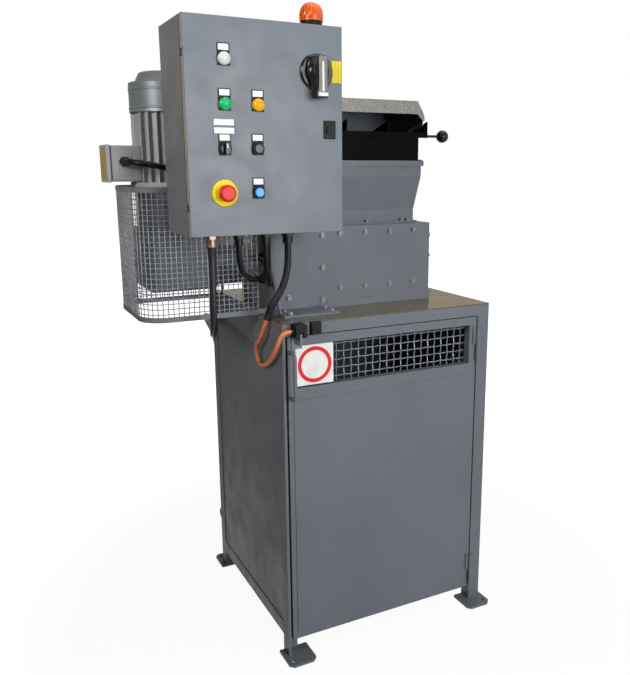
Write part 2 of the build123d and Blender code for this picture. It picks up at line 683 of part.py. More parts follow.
def hopper_loft(inset):
    """Outer form of the hopper, or the inner one with an inset."""
    low = Rectangle(NECK_X1 - NECK_X0 - 2 * inset, 2 * (NECK_Y - inset))
    wide = 2 * HOPPER_FLARE
    high = Rectangle(NECK_X1 - NECK_X0 + wide - 2 * inset, 2 * (NECK_Y - inset) + wide)
    x = (NECK_X0 + NECK_X1) / 2
    extra = 1.0 if inset else 0.0
    neck = extrude(Pos(x, 0, UNIT_Z1 - extra) * low, HOPPER_BEND_LOW - UNIT_Z1 + extra)
    taper = loft([Pos(x, 0, HOPPER_BEND_LOW) * low, Pos(x, 0, HOPPER_BEND_HIGH) * high])
    collar = extrude(Pos(x, 0, HOPPER_BEND_HIGH) * high, HOPPER_Z1 - HOPPER_BEND_HIGH + extra)
    return neck + taper + collar


def hopper():
    """Neck, taper and collar in sheet, with a top flange and a bolted foot."""
    reach = HOPPER_FLARE + HOPPER_FLANGE_OUT
    flange = block(NECK_X0 - reach, NECK_X1 + reach, -NECK_Y - reach, NECK_Y + reach,
                   HOPPER_Z1 - HOPPER_FLANGE_H, HOPPER_Z1)
    foot = block(NECK_X0 - 6, NECK_X1 + 6, -NECK_Y - HOPPER_FOOT_OUT, NECK_Y + HOPPER_FOOT_OUT,
                 UNIT_Z1, UNIT_Z1 + HOPPER_FOOT_T)
    return hopper_loft(0) + flange + foot - hopper_loft(HOPPER_T)


def feed_box():
    """Black open box on the hopper flange, with the lid's hinge ears at the back."""
    x0 = NECK_X0 - HOPPER_FLARE + BOX_INSET
    x1 = NECK_X1 + HOPPER_FLARE - BOX_INSET
    y = NECK_Y + HOPPER_FLARE - BOX_INSET - 6
    body = block(x0, x1, -y, y, HOPPER_Z1, BOX_Z1)
    body += block(x0 - BOX_FOOT, x1 + BOX_FOOT, -y - BOX_FOOT, y + BOX_FOOT, HOPPER_Z1, HOPPER_Z1 + BOX_T)
    body -= block(x0 + BOX_T, x1 - BOX_T, -y + BOX_T, y - BOX_T, HOPPER_Z1 - 1, BOX_Z1 + 1)
    for x in EAR_X:
        body += block(x, x + EAR_W, y - 1, LID_AXIS_Y, LID_AXIS_Z - 4, LID_AXIS_Z + 4)
        body += rod((x, LID_AXIS_Y, LID_AXIS_Z), (1, 0, 0), EAR_R, EAR_W)
        body += rod((x, LID_AXIS_Y, LID_AXIS_Z), (1, 0, 0), LID_PIN_R, 2 * EAR_W - 2)
    return body


def feed_tray():
    """Black tray with a front lip, two end cheeks and two dividers, and its hinge knuckles."""
    lip_x0, lip_x1 = HOOD_X0 - TRAY_LIP_OUT - CHEEK_T, HOOD_X1 + TRAY_LIP_OUT + CHEEK_T
    z = BOX_Z1 + SEAT_GAP
    tray = block(lip_x0, lip_x1, TRAY_LIP_Y, TRAY_FLOOR_Y, z, z + CHEEK_T)
    tray += block(lip_x0, lip_x1, TRAY_LIP_Y, TRAY_LIP_Y + CHEEK_T, TRAY_LIP_Z0, TRAY_LIP_Z1)
    cheek = [(TRAY_LIP_Y + 1, z + 1), (TRAY_LIP_Y + 1, CHEEK_TOP), (TRAY_FLOOR_Y, z + 8), (TRAY_FLOOR_Y, z + 1)]
    for x in (lip_x0, lip_x1 - CHEEK_T) + DIVIDERS:
        tray += prism_x(cheek, x, x + CHEEK_T)
    for x in (HOOD_X0 - CHEEK_T, HOOD_X1 + CHEEK_T - FRAME_STRIP):
        tray += block(x, x + FRAME_STRIP, TRAY_FLOOR_Y - 1, HOOD_Y1, z, z + CHEEK_T)
    tray += block(HOOD_X0, HOOD_X1, HOOD_Y1 - FRAME_STRIP, HOOD_Y1, z, z + CHEEK_T)
    for ear_x in EAR_X:
        x = ear_x + EAR_W + SEAT_GAP
        tray += block(x, x + EAR_W, HOOD_Y1 - 5, LID_AXIS_Y + 3, z, z + CHEEK_T)
        tray += block(x, x + EAR_W, LID_AXIS_Y - 3, LID_AXIS_Y + 3, LID_AXIS_Z, z + CHEEK_T)
        tray += rod((x, LID_AXIS_Y, LID_AXIS_Z), (1, 0, 0), EAR_R, EAR_W)
        tray -= rod((x - 1, LID_AXIS_Y, LID_AXIS_Z), (1, 0, 0), LID_PIN_R + RUNNING_GAP, EAR_W + 2)
    return tray


def hood():
    """Galvanised hood: bevelled top and sides, front strip, rear wall, sides cut to the cheeks."""
    x0, x1 = HOOD_X0, HOOD_X1
    z0 = BOX_Z1 + SEAT_GAP + CHEEK_T
    shoulder = HOOD_TOP - 30
    side = HOOD_TOP - 45

    def outline(inset, bottom):
        return [(x0 + inset, bottom), (x0 + inset, side), (x0 + HOOD_SIDE_IN + inset, shoulder),
                (x0 + HOOD_CHAMFER + inset, HOOD_TOP - inset), (x1 - HOOD_CHAMFER - inset, HOOD_TOP - inset),
                (x1 - HOOD_SIDE_IN - inset, shoulder), (x1 - inset, side), (x1 - inset, bottom)]

    shell = prism_y(outline(0, z0), HOOD_Y0, HOOD_Y1)
    shell -= prism_y(outline(HOOD_T, z0 - 1), HOOD_Y0 + HOOD_T, HOOD_Y1 - HOOD_T)
    strip = HOOD_TOP - HOOD_STRIP
    mouth = [(x0 - 5, z0 - 1), (x0 - 5, CHEEK_TOP), (x0 + 5, CHEEK_TOP), (x0 + 26, strip), (x1 - 26, strip),
             (x1 - 5, CHEEK_TOP), (x1 + 5, CHEEK_TOP), (x1 + 5, z0 - 1)]
    shell -= prism_y(mouth, HOOD_Y0 - 1, HOOD_Y0 + HOOD_T)
    wedge = [(HOOD_Y0 - 1, z0 - 1), (HOOD_Y0 - 1, CHEEK_TOP), (TRAY_LIP_Y, CHEEK_TOP), (TRAY_FLOOR_Y, z0 + 5),
             (TRAY_FLOOR_Y, z0 - 1)]
    return shell - prism_x(wedge, x0 - 5, x1 + 5)


def lid_lever():
    """Rod with a ball knob, welded to the right cheek."""
    start = HOOD_X1 + TRAY_LIP_OUT + CHEEK_T
    stem = rod((start, LEVER_Y, LEVER_Z), (1, 0, 0), LEVER_R, LEVER_END - start)
    return stem + Pos(LEVER_END + BALL_R - 3, LEVER_Y, LEVER_Z) * Sphere(BALL_R)


# Drive

def gearbox():
    """Cast right-angle gearbox, its lantern up to the motor, and the adapter to the gear case."""
    case = block(MOTOR_X - GEARBOX_HALF, MOTOR_X + GEARBOX_HALF, SHAFT_Y - GEARBOX_Y, SHAFT_Y + GEARBOX_Y,
                 GEARBOX_Z0, GEARBOX_Z1)
    case = fillet(case.edges().filter_by(Axis.Z), 22)
    case = chamfer(case.faces().sort_by(Axis.Z)[0].edges(), 10)
    lantern = rod((MOTOR_X, SHAFT_Y, GEARBOX_Z1), (0, 0, 1), LANTERN_R, 16)
    lantern += rod((MOTOR_X, SHAFT_Y, GEARBOX_Z1 + 16), (0, 0, 1), LANTERN_R - 12, FLANGE_Z - GEARBOX_Z1 - 30)
    lantern += rod((MOTOR_X, SHAFT_Y, FLANGE_Z - 14), (0, 0, 1), LANTERN_R, 14)
    x0 = MOTOR_X + GEARBOX_HALF
    adapter = rod((x0, SHAFT_Y, SHAFT_Z), (1, 0, 0), ADAPTER_R - 8, UNIT_X0 - x0)
    adapter += rod((UNIT_X0 - 10, SHAFT_Y, SHAFT_Z), (1, 0, 0), ADAPTER_R, 10)
    adapter += rod((x0, SHAFT_Y, SHAFT_Z), (1, 0, 0), ADAPTER_R, 10)
    adapter -= rod((x0 - 1, SHAFT_Y, SHAFT_Z), (1, 0, 0), ADAPTER_R - 18, UNIT_X0 - x0 + 2)
    return [case + lantern, adapter]


def motor_body():
    """Finned motor with its lower flange and a bore for the shaft at the fan end."""
    z0, z1 = FLANGE_Z, COWL_Z0 + 6
    flange = rod((MOTOR_X, SHAFT_Y, z0), (0, 0, 1), LANTERN_R, FLANGE_T)
    body = rod((MOTOR_X, SHAFT_Y, z0 + FLANGE_T), (0, 0, 1), MOTOR_R, z1 - z0 - FLANGE_T)
    fins = []
    fin_z0, fin_z1 = z0 + FLANGE_T, COWL_Z0 - COWL_LAP
    for index in range(FIN_COUNT):
        fin = block(MOTOR_R - 2, FIN_R, -FIN_T / 2, FIN_T / 2, fin_z0, fin_z1)
        angle = 360 * (index + 0.5) / FIN_COUNT
        beside_terminal = abs(angle - 180) < 24
        if not beside_terminal:
            fins.append(Pos(MOTOR_X, SHAFT_Y, 0) * Rot(0, 0, angle) * fin)
    bore = rod((MOTOR_X, SHAFT_Y, z1 - 40), (0, 0, 1), MOTOR_SHAFT_R + RUNNING_GAP, 60)
    return (flange + body + fins) - bore


def fan_cowl():
    """Drawn cowl with a domed top and a ring of air slots."""
    z0 = COWL_Z0 - COWL_LAP
    half = Polyline((0, z0), (COWL_R, z0), (COWL_R, COWL_Z1), (COWL_R - 7, COWL_Z1 + 9),
                    (COWL_R - 24, COWL_Z1 + 17), (COWL_R - 45, COWL_TOP), (0, COWL_TOP), close=True)
    inner = Polyline((0, z0 - 1), (COWL_R - COWL_T, z0 - 1), (COWL_R - COWL_T, COWL_Z1 - 1),
                     (COWL_R - 10, COWL_Z1 + 6), (COWL_R - 26, COWL_Z1 + 14), (COWL_R - 46, COWL_TOP - COWL_T),
                     (0, COWL_TOP - COWL_T), close=True)
    profile = make_face(half) - make_face(inner)
    shell = revolve(Plane.XZ * profile, Axis.Z)
    slot = block(24, 62, -3, 3, COWL_TOP - 12, COWL_TOP + 5)
    for index in range(16):
        shell -= Rot(0, 0, 360 * index / 16) * slot
    ring = rod((0, 0, z0), (0, 0, 1), COWL_R - COWL_T / 2, 4, MOTOR_R)
    return Pos(MOTOR_X, SHAFT_Y, 0) * (shell + ring)


def fan_rotor():
    """Motor shaft end with its six-blade fan."""
    z0 = COWL_Z0 + 6
    hub_z = z0 + 16
    rotor = rod((0, 0, z0 - 38), (0, 0, 1), MOTOR_SHAFT_R, 76)
    rotor += rod((0, 0, hub_z), (0, 0, 1), 30, 14)
    for index in range(6):
        rotor += Rot(0, 0, 60 * index) * block(24, 88, -2, 2, hub_z, hub_z + 40)
    return Pos(MOTOR_X, SHAFT_Y, 0) * rotor


def terminal_box():
    """Terminal box on the motor's left side, with its gasket and lid, and the cable gland."""
    x1 = MOTOR_X - MOTOR_R + 6
    y1 = 2 * SHAFT_Y - TERMINAL_Y0
    z0, z1 = TERMINAL_Z0, TERMINAL_Z0 + TERMINAL_H
    x0 = TERMINAL_X0 + TERMINAL_LID
    body = fillet(block(x0, x1, TERMINAL_Y0, y1, z0, z1).edges().filter_by(Axis.X), 8)
    body -= rod((MOTOR_X, SHAFT_Y, z0 - 1), (0, 0, 1), MOTOR_R, TERMINAL_H + 2)
    gasket = fillet(block(x0 - 2, x0, TERMINAL_Y0 - 1, y1 + 1, z0 - 1, z1 + 1).edges().filter_by(Axis.X), 8)
    lid = fillet(block(TERMINAL_X0, x0 - 2, TERMINAL_Y0 - 1, y1 + 1, z0 - 1, z1 + 1).edges().filter_by(Axis.X), 8)
    lid = chamfer(lid.faces().sort_by(Axis.X)[0].edges(), 3)
    return [body, gasket, lid]


# Mesh guard

def guard_loop(offset, z, height, wall):
    """Closed flat band round the guard, with rounded corners."""
    width = GUARD_X1 - GUARD_X0
    depth = GUARD_Y1 - GUARD_Y0
    centre = ((GUARD_X0 + GUARD_X1) / 2, (GUARD_Y0 + GUARD_Y1) / 2, z)

    def outline(inset):
        w, d = width - 2 * inset, depth - 2 * inset
        shape = Rectangle(w, d)
        left = shape.vertices().filter_by(lambda v: v.X < 0)
        return fillet(left, GUARD_R - inset)

    band = outline(offset) - outline(offset + wall)
    return extrude(Pos(*centre) * band, height)


def guard_frame():
    """Top and bottom bands, corner bars, and two ears to the cabinet bracket."""
    frame = guard_loop(0, GUARD_Z0, BAND_H, BAND_T) + guard_loop(0, GUARD_Z1 - BAND_H, BAND_H, BAND_T)
    for y in (GUARD_Y0, GUARD_Y1 - 12):
        frame += block(GUARD_X1 - BAND_T, GUARD_X1, y, y + 12, GUARD_Z0, GUARD_Z1)
    ear_y0 = -UNIT_Y
    for z in (STAND_H + SEAT_GAP, GUARD_Z1 - BAND_H):
        frame += block(GUARD_X1 - 1, BRACKET_X0 - SEAT_GAP, ear_y0, ear_y0 + 4, z, z + BAND_H)
        frame += block(BRACKET_X0 - SEAT_GAP - 4, BRACKET_X0 - SEAT_GAP, ear_y0, ear_y0 + 18, z, z + BAND_H)
    return frame


def guard_sheet(length, height, centre, facing):
    """Flat square mesh with a solid border."""
    columns = int((length - GUARD_BAR) / GUARD_PITCH)
    rows = int((height - GUARD_BAR) / GUARD_PITCH)
    hole_w = (length - GUARD_BAR) / columns - GUARD_BAR
    hole_h = (height - GUARD_BAR) / rows - GUARD_BAR
    sheet = Rectangle(length, height)
    sheet -= GridLocations(hole_w + GUARD_BAR, hole_h + GUARD_BAR, columns, rows) * Rectangle(hole_w, hole_h)
    side = (1, 0, 0) if facing[1] else (0, 1, 0)
    return extrude(Plane(origin=centre, x_dir=side, z_dir=facing) * sheet, BAND_T)


def guard_mesh():
    """Front, left and rear mesh, with a rounded corner between them."""
    z0, z1 = GUARD_Z0 + BAND_H, GUARD_Z1 - BAND_H
    height, middle = z1 - z0, (z0 + z1) / 2
    x0, x1 = GUARD_X0 + GUARD_R, GUARD_X1 - BAND_T
    y0, y1 = GUARD_Y0 + GUARD_R, GUARD_Y1 - GUARD_R
    pieces = [
        guard_sheet(x1 - x0, height, ((x0 + x1) / 2, GUARD_Y0, middle), (0, 1, 0)),
        guard_sheet(x1 - x0, height, ((x0 + x1) / 2, GUARD_Y1, middle), (0, -1, 0)),
        guard_sheet(y1 - y0, height, (GUARD_X0, (y0 + y1) / 2, middle), (1, 0, 0)),
    ]
    rows = int((height - GUARD_BAR) / GUARD_PITCH)
    row_step = (height - GUARD_BAR) / rows
    for y, first in ((y0, 180), (y1, 90)):
        corner = guard_loop(0, z0, height, BAND_T)
        low, high = (GUARD_Y0, y0) if first == 180 else (y1, GUARD_Y1)
        corner &= block(GUARD_X0, x0, low, high, z0, z1)
        hub = Pos(x0, y, 0)
        for index in range(3):
            angle = first + 30 * index + 15
            for row in range(rows):
                z = z0 + GUARD_BAR + row * row_step
                hole = block(GUARD_R - 8, GUARD_R + 4, -15.5, 15.5, z, z + row_step - GUARD_BAR)
                corner -= hub * Rot(0, 0, angle) * hole
        pieces.append(corner)
    return pieces


# Cabinet

def cabinet_bracket():
    """Upright sheet bracket with side flanges, a bolted foot and two gussets."""
    y1 = -UNIT_Y
    y0 = y1 - BRACKET_T
    plate = block(BRACKET_X0, BRACKET_X1, y0, y1, STAND_H, BRACKET_TOP)
    for x in (BRACKET_X0, BRACKET_X1 - BRACKET_T):
        low = STAND_H if x == BRACKET_X0 else UNIT_Z1 + 2
        plate += block(x, x + BRACKET_T, y0, y0 + BRACKET_FLANGE, low, BRACKET_TOP)
    plate += block(BRACKET_X0, BRACKET_X1, BRACKET_FOOT_Y, y1, STAND_H, STAND_H + BRACKET_T)
    rib = [(y0, STAND_H), (y0, STAND_H + 120), (BRACKET_FOOT_Y + 30, STAND_H + BRACKET_T), (BRACKET_FOOT_Y + 30, STAND_H)]
    return plate + prism_x(rib, BRACKET_X0, BRACKET_X0 + BRACKET_T)


def cabinet_box():
    """Wall box of a back sheet and four side sheets, with two hinge lugs and their pins."""
    y0 = CAB_Y0 + DOOR_DEPTH + DOOR_GAP
    inner_y = CAB_Y1 - CAB_T
    back = block(CAB_X0, CAB_X1, inner_y, CAB_Y1, CAB_Z0, CAB_Z1)
    left = block(CAB_X0, CAB_X0 + CAB_T, y0, inner_y, CAB_Z0, CAB_Z1)
    right = block(CAB_X1 - CAB_T, CAB_X1, y0, inner_y, CAB_Z0, CAB_Z1)
    floor = block(CAB_X0 + CAB_T, CAB_X1 - CAB_T, y0, inner_y, CAB_Z0, CAB_Z0 + CAB_T)
    roof = block(CAB_X0 + CAB_T, CAB_X1 - CAB_T, y0, inner_y, CAB_Z1 - CAB_T, CAB_Z1)
    lugs = []
    for z in CAB_HINGES:
        lug = rod((CAB_AXIS_X, CAB_AXIS_Y, z), (0, 0, 1), LUG_R, LUG_H)
        lug += block(CAB_X0 + CAB_T, CAB_AXIS_X + 3, CAB_AXIS_Y, y0 + 20, z, z + LUG_H)
        lug += rod((CAB_AXIS_X, CAB_AXIS_Y, z), (0, 0, 1), LUG_PIN_R, 2 * LUG_H - 1)
        lugs.append(lug - left)
    return [back, left, right, floor, roof] + lugs


def cabinet_door():
    """Door pan with hinge knuckles and holes for the controls."""
    back = CAB_Y0 + DOOR_DEPTH
    door = pan(CAB_X0, CAB_X1, CAB_Z0, CAB_Z1, CAB_Y0, DOOR_DEPTH, CAB_T)
    door = fillet(door.faces().sort_by(Axis.Y)[0].edges(), 1.2)
    for x, z in LAMPS + (SELECTOR, BLACK_BUTTON, BLUE_BUTTON, STOP, MAIN_SWITCH, LOCK):
        door -= rod((x, CAB_Y0 - 1, z), (0, 1, 0), HOLE_R, CAB_T + 2)
    for z in CAB_HINGES:
        door -= block(CAB_X0 - 1, CAB_X0 + CAB_T + 0.2, CAB_Y0 + CAB_T, back + 1, z - 2, z + LUG_H + 2)
        top = z + LUG_H + SEAT_GAP
        knuckle = rod((CAB_AXIS_X, CAB_AXIS_Y, top), (0, 0, 1), LUG_R, LUG_H)
        knuckle += block(CAB_AXIS_X, CAB_AXIS_X + 14, CAB_Y0 + 1, CAB_AXIS_Y + 3, top, top + LUG_H)
        knuckle += block(CAB_AXIS_X - 3, CAB_AXIS_X + 3, CAB_Y0 + 1, CAB_AXIS_Y, top, top + LUG_H)
        knuckle -= rod((CAB_AXIS_X, CAB_AXIS_Y, top - 1), (0, 0, 1), LUG_PIN_R + RUNNING_GAP, LUG_H + 2)
        door += knuckle
    return door


def switchgear():
    """Mounting plate on four studs, with two rails, the contactor, relays, drive and terminals."""
    back = CAB_Y1 - CAB_T
    plate = block(-565, -205, back - 14, back - 11, CAB_Z0 + 20, CAB_Z1 - 20)
    for x in (-555, -215):
        for z in (CAB_Z0 + 33, CAB_Z1 - 33):
            plate += rod((x, back, z), (0, -1, 0), 5, 18)
    face = back - 14
    pieces = [plate]
    for z in (CAB_Z0 + 158, CAB_Z0 + 318):
        pieces.append(block(-550, -220, face - 7, face, z - 17, z + 17))
    rail = face - 7
    for x, rise, width, height, depth in ((-520, 318, 45, 75, 55), (-460, 318, 45, 75, 55), (-390, 318, 36, 90, 50),
                                          (-320, 318, 70, 90, 48), (-470, 158, 130, 60, 38), (-330, 158, 90, 80, 52)):
        z = CAB_Z0 + rise
        pieces.append(block(x - width / 2, x + width / 2, rail - depth, rail, z - height / 2, z + height / 2))
    pieces.append(block(-500, -380, face - 50, face, CAB_Z0 + 383, CAB_Z0 + 468))
    return pieces


def control_stem(x, z, front_depth):
    """Threaded neck behind a control: front part, stem, panel nut and contact block."""
    stem = rod((x, CAB_Y0 - front_depth, z), (0, 1, 0), STEM_R, front_depth + CAB_T + 8)
    nut_y = CAB_Y0 + CAB_T
    stem += rod((x, nut_y, z), (0, 1, 0), PANEL_NUT_R, 4)
    return stem + block(x - 13, x + 13, nut_y + 5, nut_y + 5 + BLOCK_DEPTH, z - 15, z + 15)


def pilot_lamps():
    """Three lamps: bezel and domed lens in one piece with the stem."""
    lamps = []
    for x, z in LAMPS:
        lamp = rod((x, CAB_Y0, z), (0, -1, 0), CONTROL_R, 4) + control_stem(x, z, 2)
        lens = rod((x, CAB_Y0 - 4, z), (0, -1, 0), CONTROL_R - 2.5, 8)
        lens = fillet(lens.faces().sort_by(Axis.Y)[0].edges(), 4)
        lamps.append(lamp + lens)
    return lamps


def legend_plates():
    """Legend holders around the controls, and two label strips."""
    plates = []
    for x, z in LAMPS + (SELECTOR, BLACK_BUTTON, BLUE_BUTTON):
        plate = block(x - 15, x + 15, CAB_Y0 - 1.5, CAB_Y0, z - 15, z + 35)
        plates.append(plate - rod((x, CAB_Y0 + 1, z), (0, -1, 0), CONTROL_R + 0.2, 4))
    for z in LABEL_ROWS:
        plates.append(block(LABEL_X - 25, LABEL_X + 25, CAB_Y0 - 1, CAB_Y0, z - 7.5, z + 7.5))
    return plates


def button_bezel(x, z):
    """Fixed bezel, neck and contact block of a push button or selector."""
    ring = rod((x, CAB_Y0, z), (0, -1, 0), CONTROL_R, 9, CONTROL_R - 3)
    ring += rod((x, CAB_Y0, z), (0, 1, 0), STEM_R, CAB_T + 8, STEM_R - 1.5)
    ring += rod((x, CAB_Y0 - 1, z), (0, 1, 0), CONTROL_R, 1, STEM_R - 1.5)
    ring += rod((x, CAB_Y0 + CAB_T, z), (0, 1, 0), PANEL_NUT_R, 4, STEM_R - 1.5)
    block_y = CAB_Y0 + CAB_T + 8
    return ring + block(x - 13, x + 13, block_y, block_y + BLOCK_DEPTH - 4, z - 15, z + 15)


def button_bezels():
    pieces = [button_bezel(x, z) for x, z in (SELECTOR, BLACK_BUTTON, BLUE_BUTTON)]
    return pieces + [stop_ring()]


def stop_ring():
    """Yellow ring of the emergency stop with its neck and contact block."""
    x, z = STOP
    ring = rod((x, CAB_Y0, z), (0, -1, 0), 31.5, 3, CONTROL_R)
    ring += rod((x, CAB_Y0, z), (0, -1, 0), CONTROL_R + 0.5, 8, STEM_R - 1.5)
    ring += rod((x, CAB_Y0, z), (0, 1, 0), STEM_R, CAB_T + 8, STEM_R - 1.5)
    ring += rod((x, CAB_Y0 + CAB_T, z), (0, 1, 0), PANEL_NUT_R, 4, STEM_R - 1.5)
    block_y = CAB_Y0 + CAB_T + 8
    return ring + block(x - 13, x + 13, block_y, block_y + BLOCK_DEPTH, z - 15, z + 15)


def push_button(x, z):
    """Cap of a push button with its stem, flush inside the bezel."""
    cap = rod((x, CAB_Y0 - 5.5, z), (0, -1, 0), CONTROL_R - 3.4, 6.5)
    cap = fillet(cap.faces().sort_by(Axis.Y)[0].edges(), 1.5)
    return cap + rod((x, CAB_Y0 - 6, z), (0, 1, 0), STEM_R - 2, 11)


def selector_knob():
    """Rotary selector with a raised grip bar."""
    x, z = SELECTOR
    knob = rod((x, CAB_Y0 - 1.6, z), (0, -1, 0), CONTROL_R - 3.4, 9)
    knob += fillet(block(x - 4, x + 4, CAB_Y0 - 22, CAB_Y0 - 9, z - 13, z + 13).edges().filter_by(Axis.Y), 3)
    return knob + rod((x, CAB_Y0 - 2, z), (0, 1, 0), STEM_R - 2, 9)


def stop_head():
    """Mushroom head of the emergency stop."""
    x, z = STOP
    head = rod((x, CAB_Y0 - 15, z), (0, -1, 0), 20, 16)
    head = fillet(head.faces().sort_by(Axis.Y)[0].edges(), 6)
    return head + rod((x, CAB_Y0 - 16, z), (0, 1, 0), STEM_R - 2, 20)


def switch_base():
    """Round shroud of the main switch with its body behind the door."""
    x, z = MAIN_SWITCH
    base = rod((x, CAB_Y0, z), (0, -1, 0), 43, 8)
    base = chamfer(base.faces().sort_by(Axis.Y)[0].edges(), 3)
    base += rod((x, CAB_Y0, z), (0, 1, 0), STEM_R, 12)
    base += block(x - 30, x + 30, CAB_Y0 + CAB_T + 2, CAB_Y0 + CAB_T + 44, z - 30, z + 30)
    return base - rod((x, CAB_Y0 - 9, z), (0, 1, 0), 8, 20)


def switch_handle():
    """Tapered grip of the main switch on its round hub."""
    x, z = MAIN_SWITCH
    hub = rod((x, CAB_Y0 - 8.3, z), (0, -1, 0), 26, 10)
    face = make_face(Polyline((x - 17, CAB_Y0 - 18, z + 34), (x + 17, CAB_Y0 - 18, z + 34),
                              (x + 10, CAB_Y0 - 18, z - 60), (x - 10, CAB_Y0 - 18, z - 60), close=True))
    bar = extrude(face, amount=24, dir=(0, -1, 0))
    bar = fillet(bar.edges().filter_by(Axis.Y), 6)
    bar = chamfer(bar.faces().sort_by(Axis.Y)[0].edges(), 3)
    return hub + bar + rod((x, CAB_Y0 - 9, z), (0, 1, 0), 8 - RUNNING_GAP, 16)


def cabinet_lock():
    """Quarter-turn lock: a round insert, its shaft and the cam behind the door."""
    x, z = LOCK
    lock = rod((x, CAB_Y0 - 5.3, z), (0, -1, 0), 11, 4)
    lock += rod((x, CAB_Y0 - 6, z), (0, 1, 0), 8, CAB_T + 22)
    return lock + block(x - 8, x + 30, CAB_Y0 + 14, CAB_Y0 + 17, z - 9, z + 9)


def lock_plate():
    """Black escutcheon around the lock."""
    x, z = LOCK
    plate = block(x - 16, x + 16, CAB_Y0 - 5, CAB_Y0, z - 22, z + 22)
    plate = chamfer(plate.faces().sort_by(Axis.Y)[0].edges(), 2)
    neck = rod((x, CAB_Y0, z), (0, 1, 0), STEM_R, CAB_T + 6)
    return plate + neck - rod((x, CAB_Y0 - 6, z), (0, 1, 0), 8 + RUNNING_GAP, 30)


def beacon_base():
    """Foot of the beacon on the cabinet roof."""
    base = rod((BEACON_X, BEACON_Y, CAB_Z1), (0, 0, 1), BEACON_R + 1, 10)
    return base + rod((BEACON_X, BEACON_Y, CAB_Z1 + 10), (0, 0, 1), BEACON_R - 3, 16)


def beacon_lens():
    """Ribbed cylinder with a domed top."""
    lens = rod((BEACON_X, BEACON_Y, CAB_Z1 + 26), (0, 0, 1), BEACON_R, 46)
    return fillet(lens.faces().sort_by(Axis.Z)[-1].edges(), 14)


def gland(point, direction, radius, length):
    """Hexagon nut and round body, bored for its cable."""
    body = hex_bar(point, direction, 2 * radius - 2, length * 0.45)
    middle = tuple(p + d * length * 0.45 for p, d in zip(point, direction))
    body += rod(middle, direction, radius * 0.86, length * 0.55)
    return body


def cable_glands():
    """Glands under the cabinet, behind it, on the motor, on the gear case and on the door switch."""
    pieces = [gland((x, GLAND_Y, CAB_Z0), (0, 0, -1), r, GLAND_LEN) for x, r in GLANDS]
    x, y, z = MOTOR_ROUTE[-1]
    pieces.append(gland((x, CAB_Y1, z), (0, 1, 0), 14, y - CAB_Y1))
    x, y, z = MOTOR_ROUTE[0]
    pieces.append(gland((x, TERMINAL_Y0, z), (0, -1, 0), 14, TERMINAL_Y0 - y))
    for route in CONTROL_ROUTES:
        x, y, z = route[-1]
        pieces.append(gland((UNIT_X0, y, z), (-1, 0, 0), 12, UNIT_X0 - x))
    x, y, z = SCREENED_ROUTE[-1]
    pieces.append(gland((SWITCH_X0, y, z), (-1, 0, 0), 8, SWITCH_X0 - x))
    return pieces


# Cables

def cord_radii(route):
    """Arc radius at each corner of a route."""
    radii = []
    for before, corner, after in zip(route, route[1:], route[2:]):
        run_in = Vector(*corner) - Vector(*before)
        run_out = Vector(*after) - Vector(*corner)
        half_turn = radians(run_in.get_angle(run_out)) / 2
        radii.append(CORD_FILLET_SHARE * min(run_in.length, run_out.length) / tan(half_turn))
    return radii


def cord(name, route, diameter):
    """Tube of straight runs and tangent arcs along a route."""
    radii = cord_radii(route)
    path = FilletPolyline(*route, radius=radii)
    start = Vector(*route[0])
    section = Plane(origin=start, z_dir=Vector(*route[1]) - start) * Circle(diameter / 2)
    tube = sweep(section, path=path)
    share = tube.volume / (pi * diameter ** 2 / 4 * path.length)
    tightest = min(radii) / diameter
    print(f"{name}: length {path.length:.0f} mm, tightest {tightest:.1f} diameters, volume share {share:.3f}")
    print("   radii", [round(r) for r in radii])
    return tube


def supply_coil():
    """Outer form of the coiled length on the floor."""
    width = COIL_COLUMNS * SUPPLY_D
    height = COIL_ROWS * SUPPLY_D
    section = Pos(COIL_MEAN_R, height / 2) * RectangleRounded(width, height, SUPPLY_D / 2.2)
    return Pos(*COIL_CENTRE, 0) * revolve(Plane.XZ * section, Axis.Z)


def supply_plug():
    """Round industrial plug with its collar and cable boot."""
    end = Vector(*PLUG_ROUTE[-1])
    before = Vector(*PLUG_ROUTE[-2])
    flat = (end - before).normalized()
    boot = extrude(Plane(origin=end, z_dir=flat) * Circle(13), 26)
    collar = extrude(Plane(origin=end + flat * 26, z_dir=flat) * Circle(PLUG_R), 14)
    body = extrude(Plane(origin=end + flat * 40, z_dir=flat) * Circle(PLUG_R - 4), PLUG_LEN - 40)
    socket = extrude(Plane(origin=end + flat * (PLUG_LEN - 34), z_dir=flat) * Circle(PLUG_R - 8), 40)
    pins = [extrude(Plane(origin=end + flat * (PLUG_LEN - 34), z_dir=flat) * Pos(14 * cos(a), 14 * sin(a)) * Circle(2.5), 28)
            for a in (radians(45 + 72 * k) for k in range(5))]
    return (boot + collar + body - socket) + pins


def supply_cable():
    return [cord("supply cable", SUPPLY_ROUTE, SUPPLY_D), cord("supply cable end", PLUG_ROUTE, SUPPLY_D)]


def control_cables():
    pieces = [cord("control cable", route, CONTROL_D) for route in CONTROL_ROUTES]
    pieces.append(cord("conduit", CONDUIT_ROUTE, CONDUIT_D))
    return pieces + [cord("motor cable", MOTOR_ROUTE, MOTOR_D)]


def coupled_shaft():
    """Rear shaft, driven through the coupling at its left end."""
    return [cutter_shaft(SHAFT_Y, UNIT_X0 - 58), drive_coupling()]


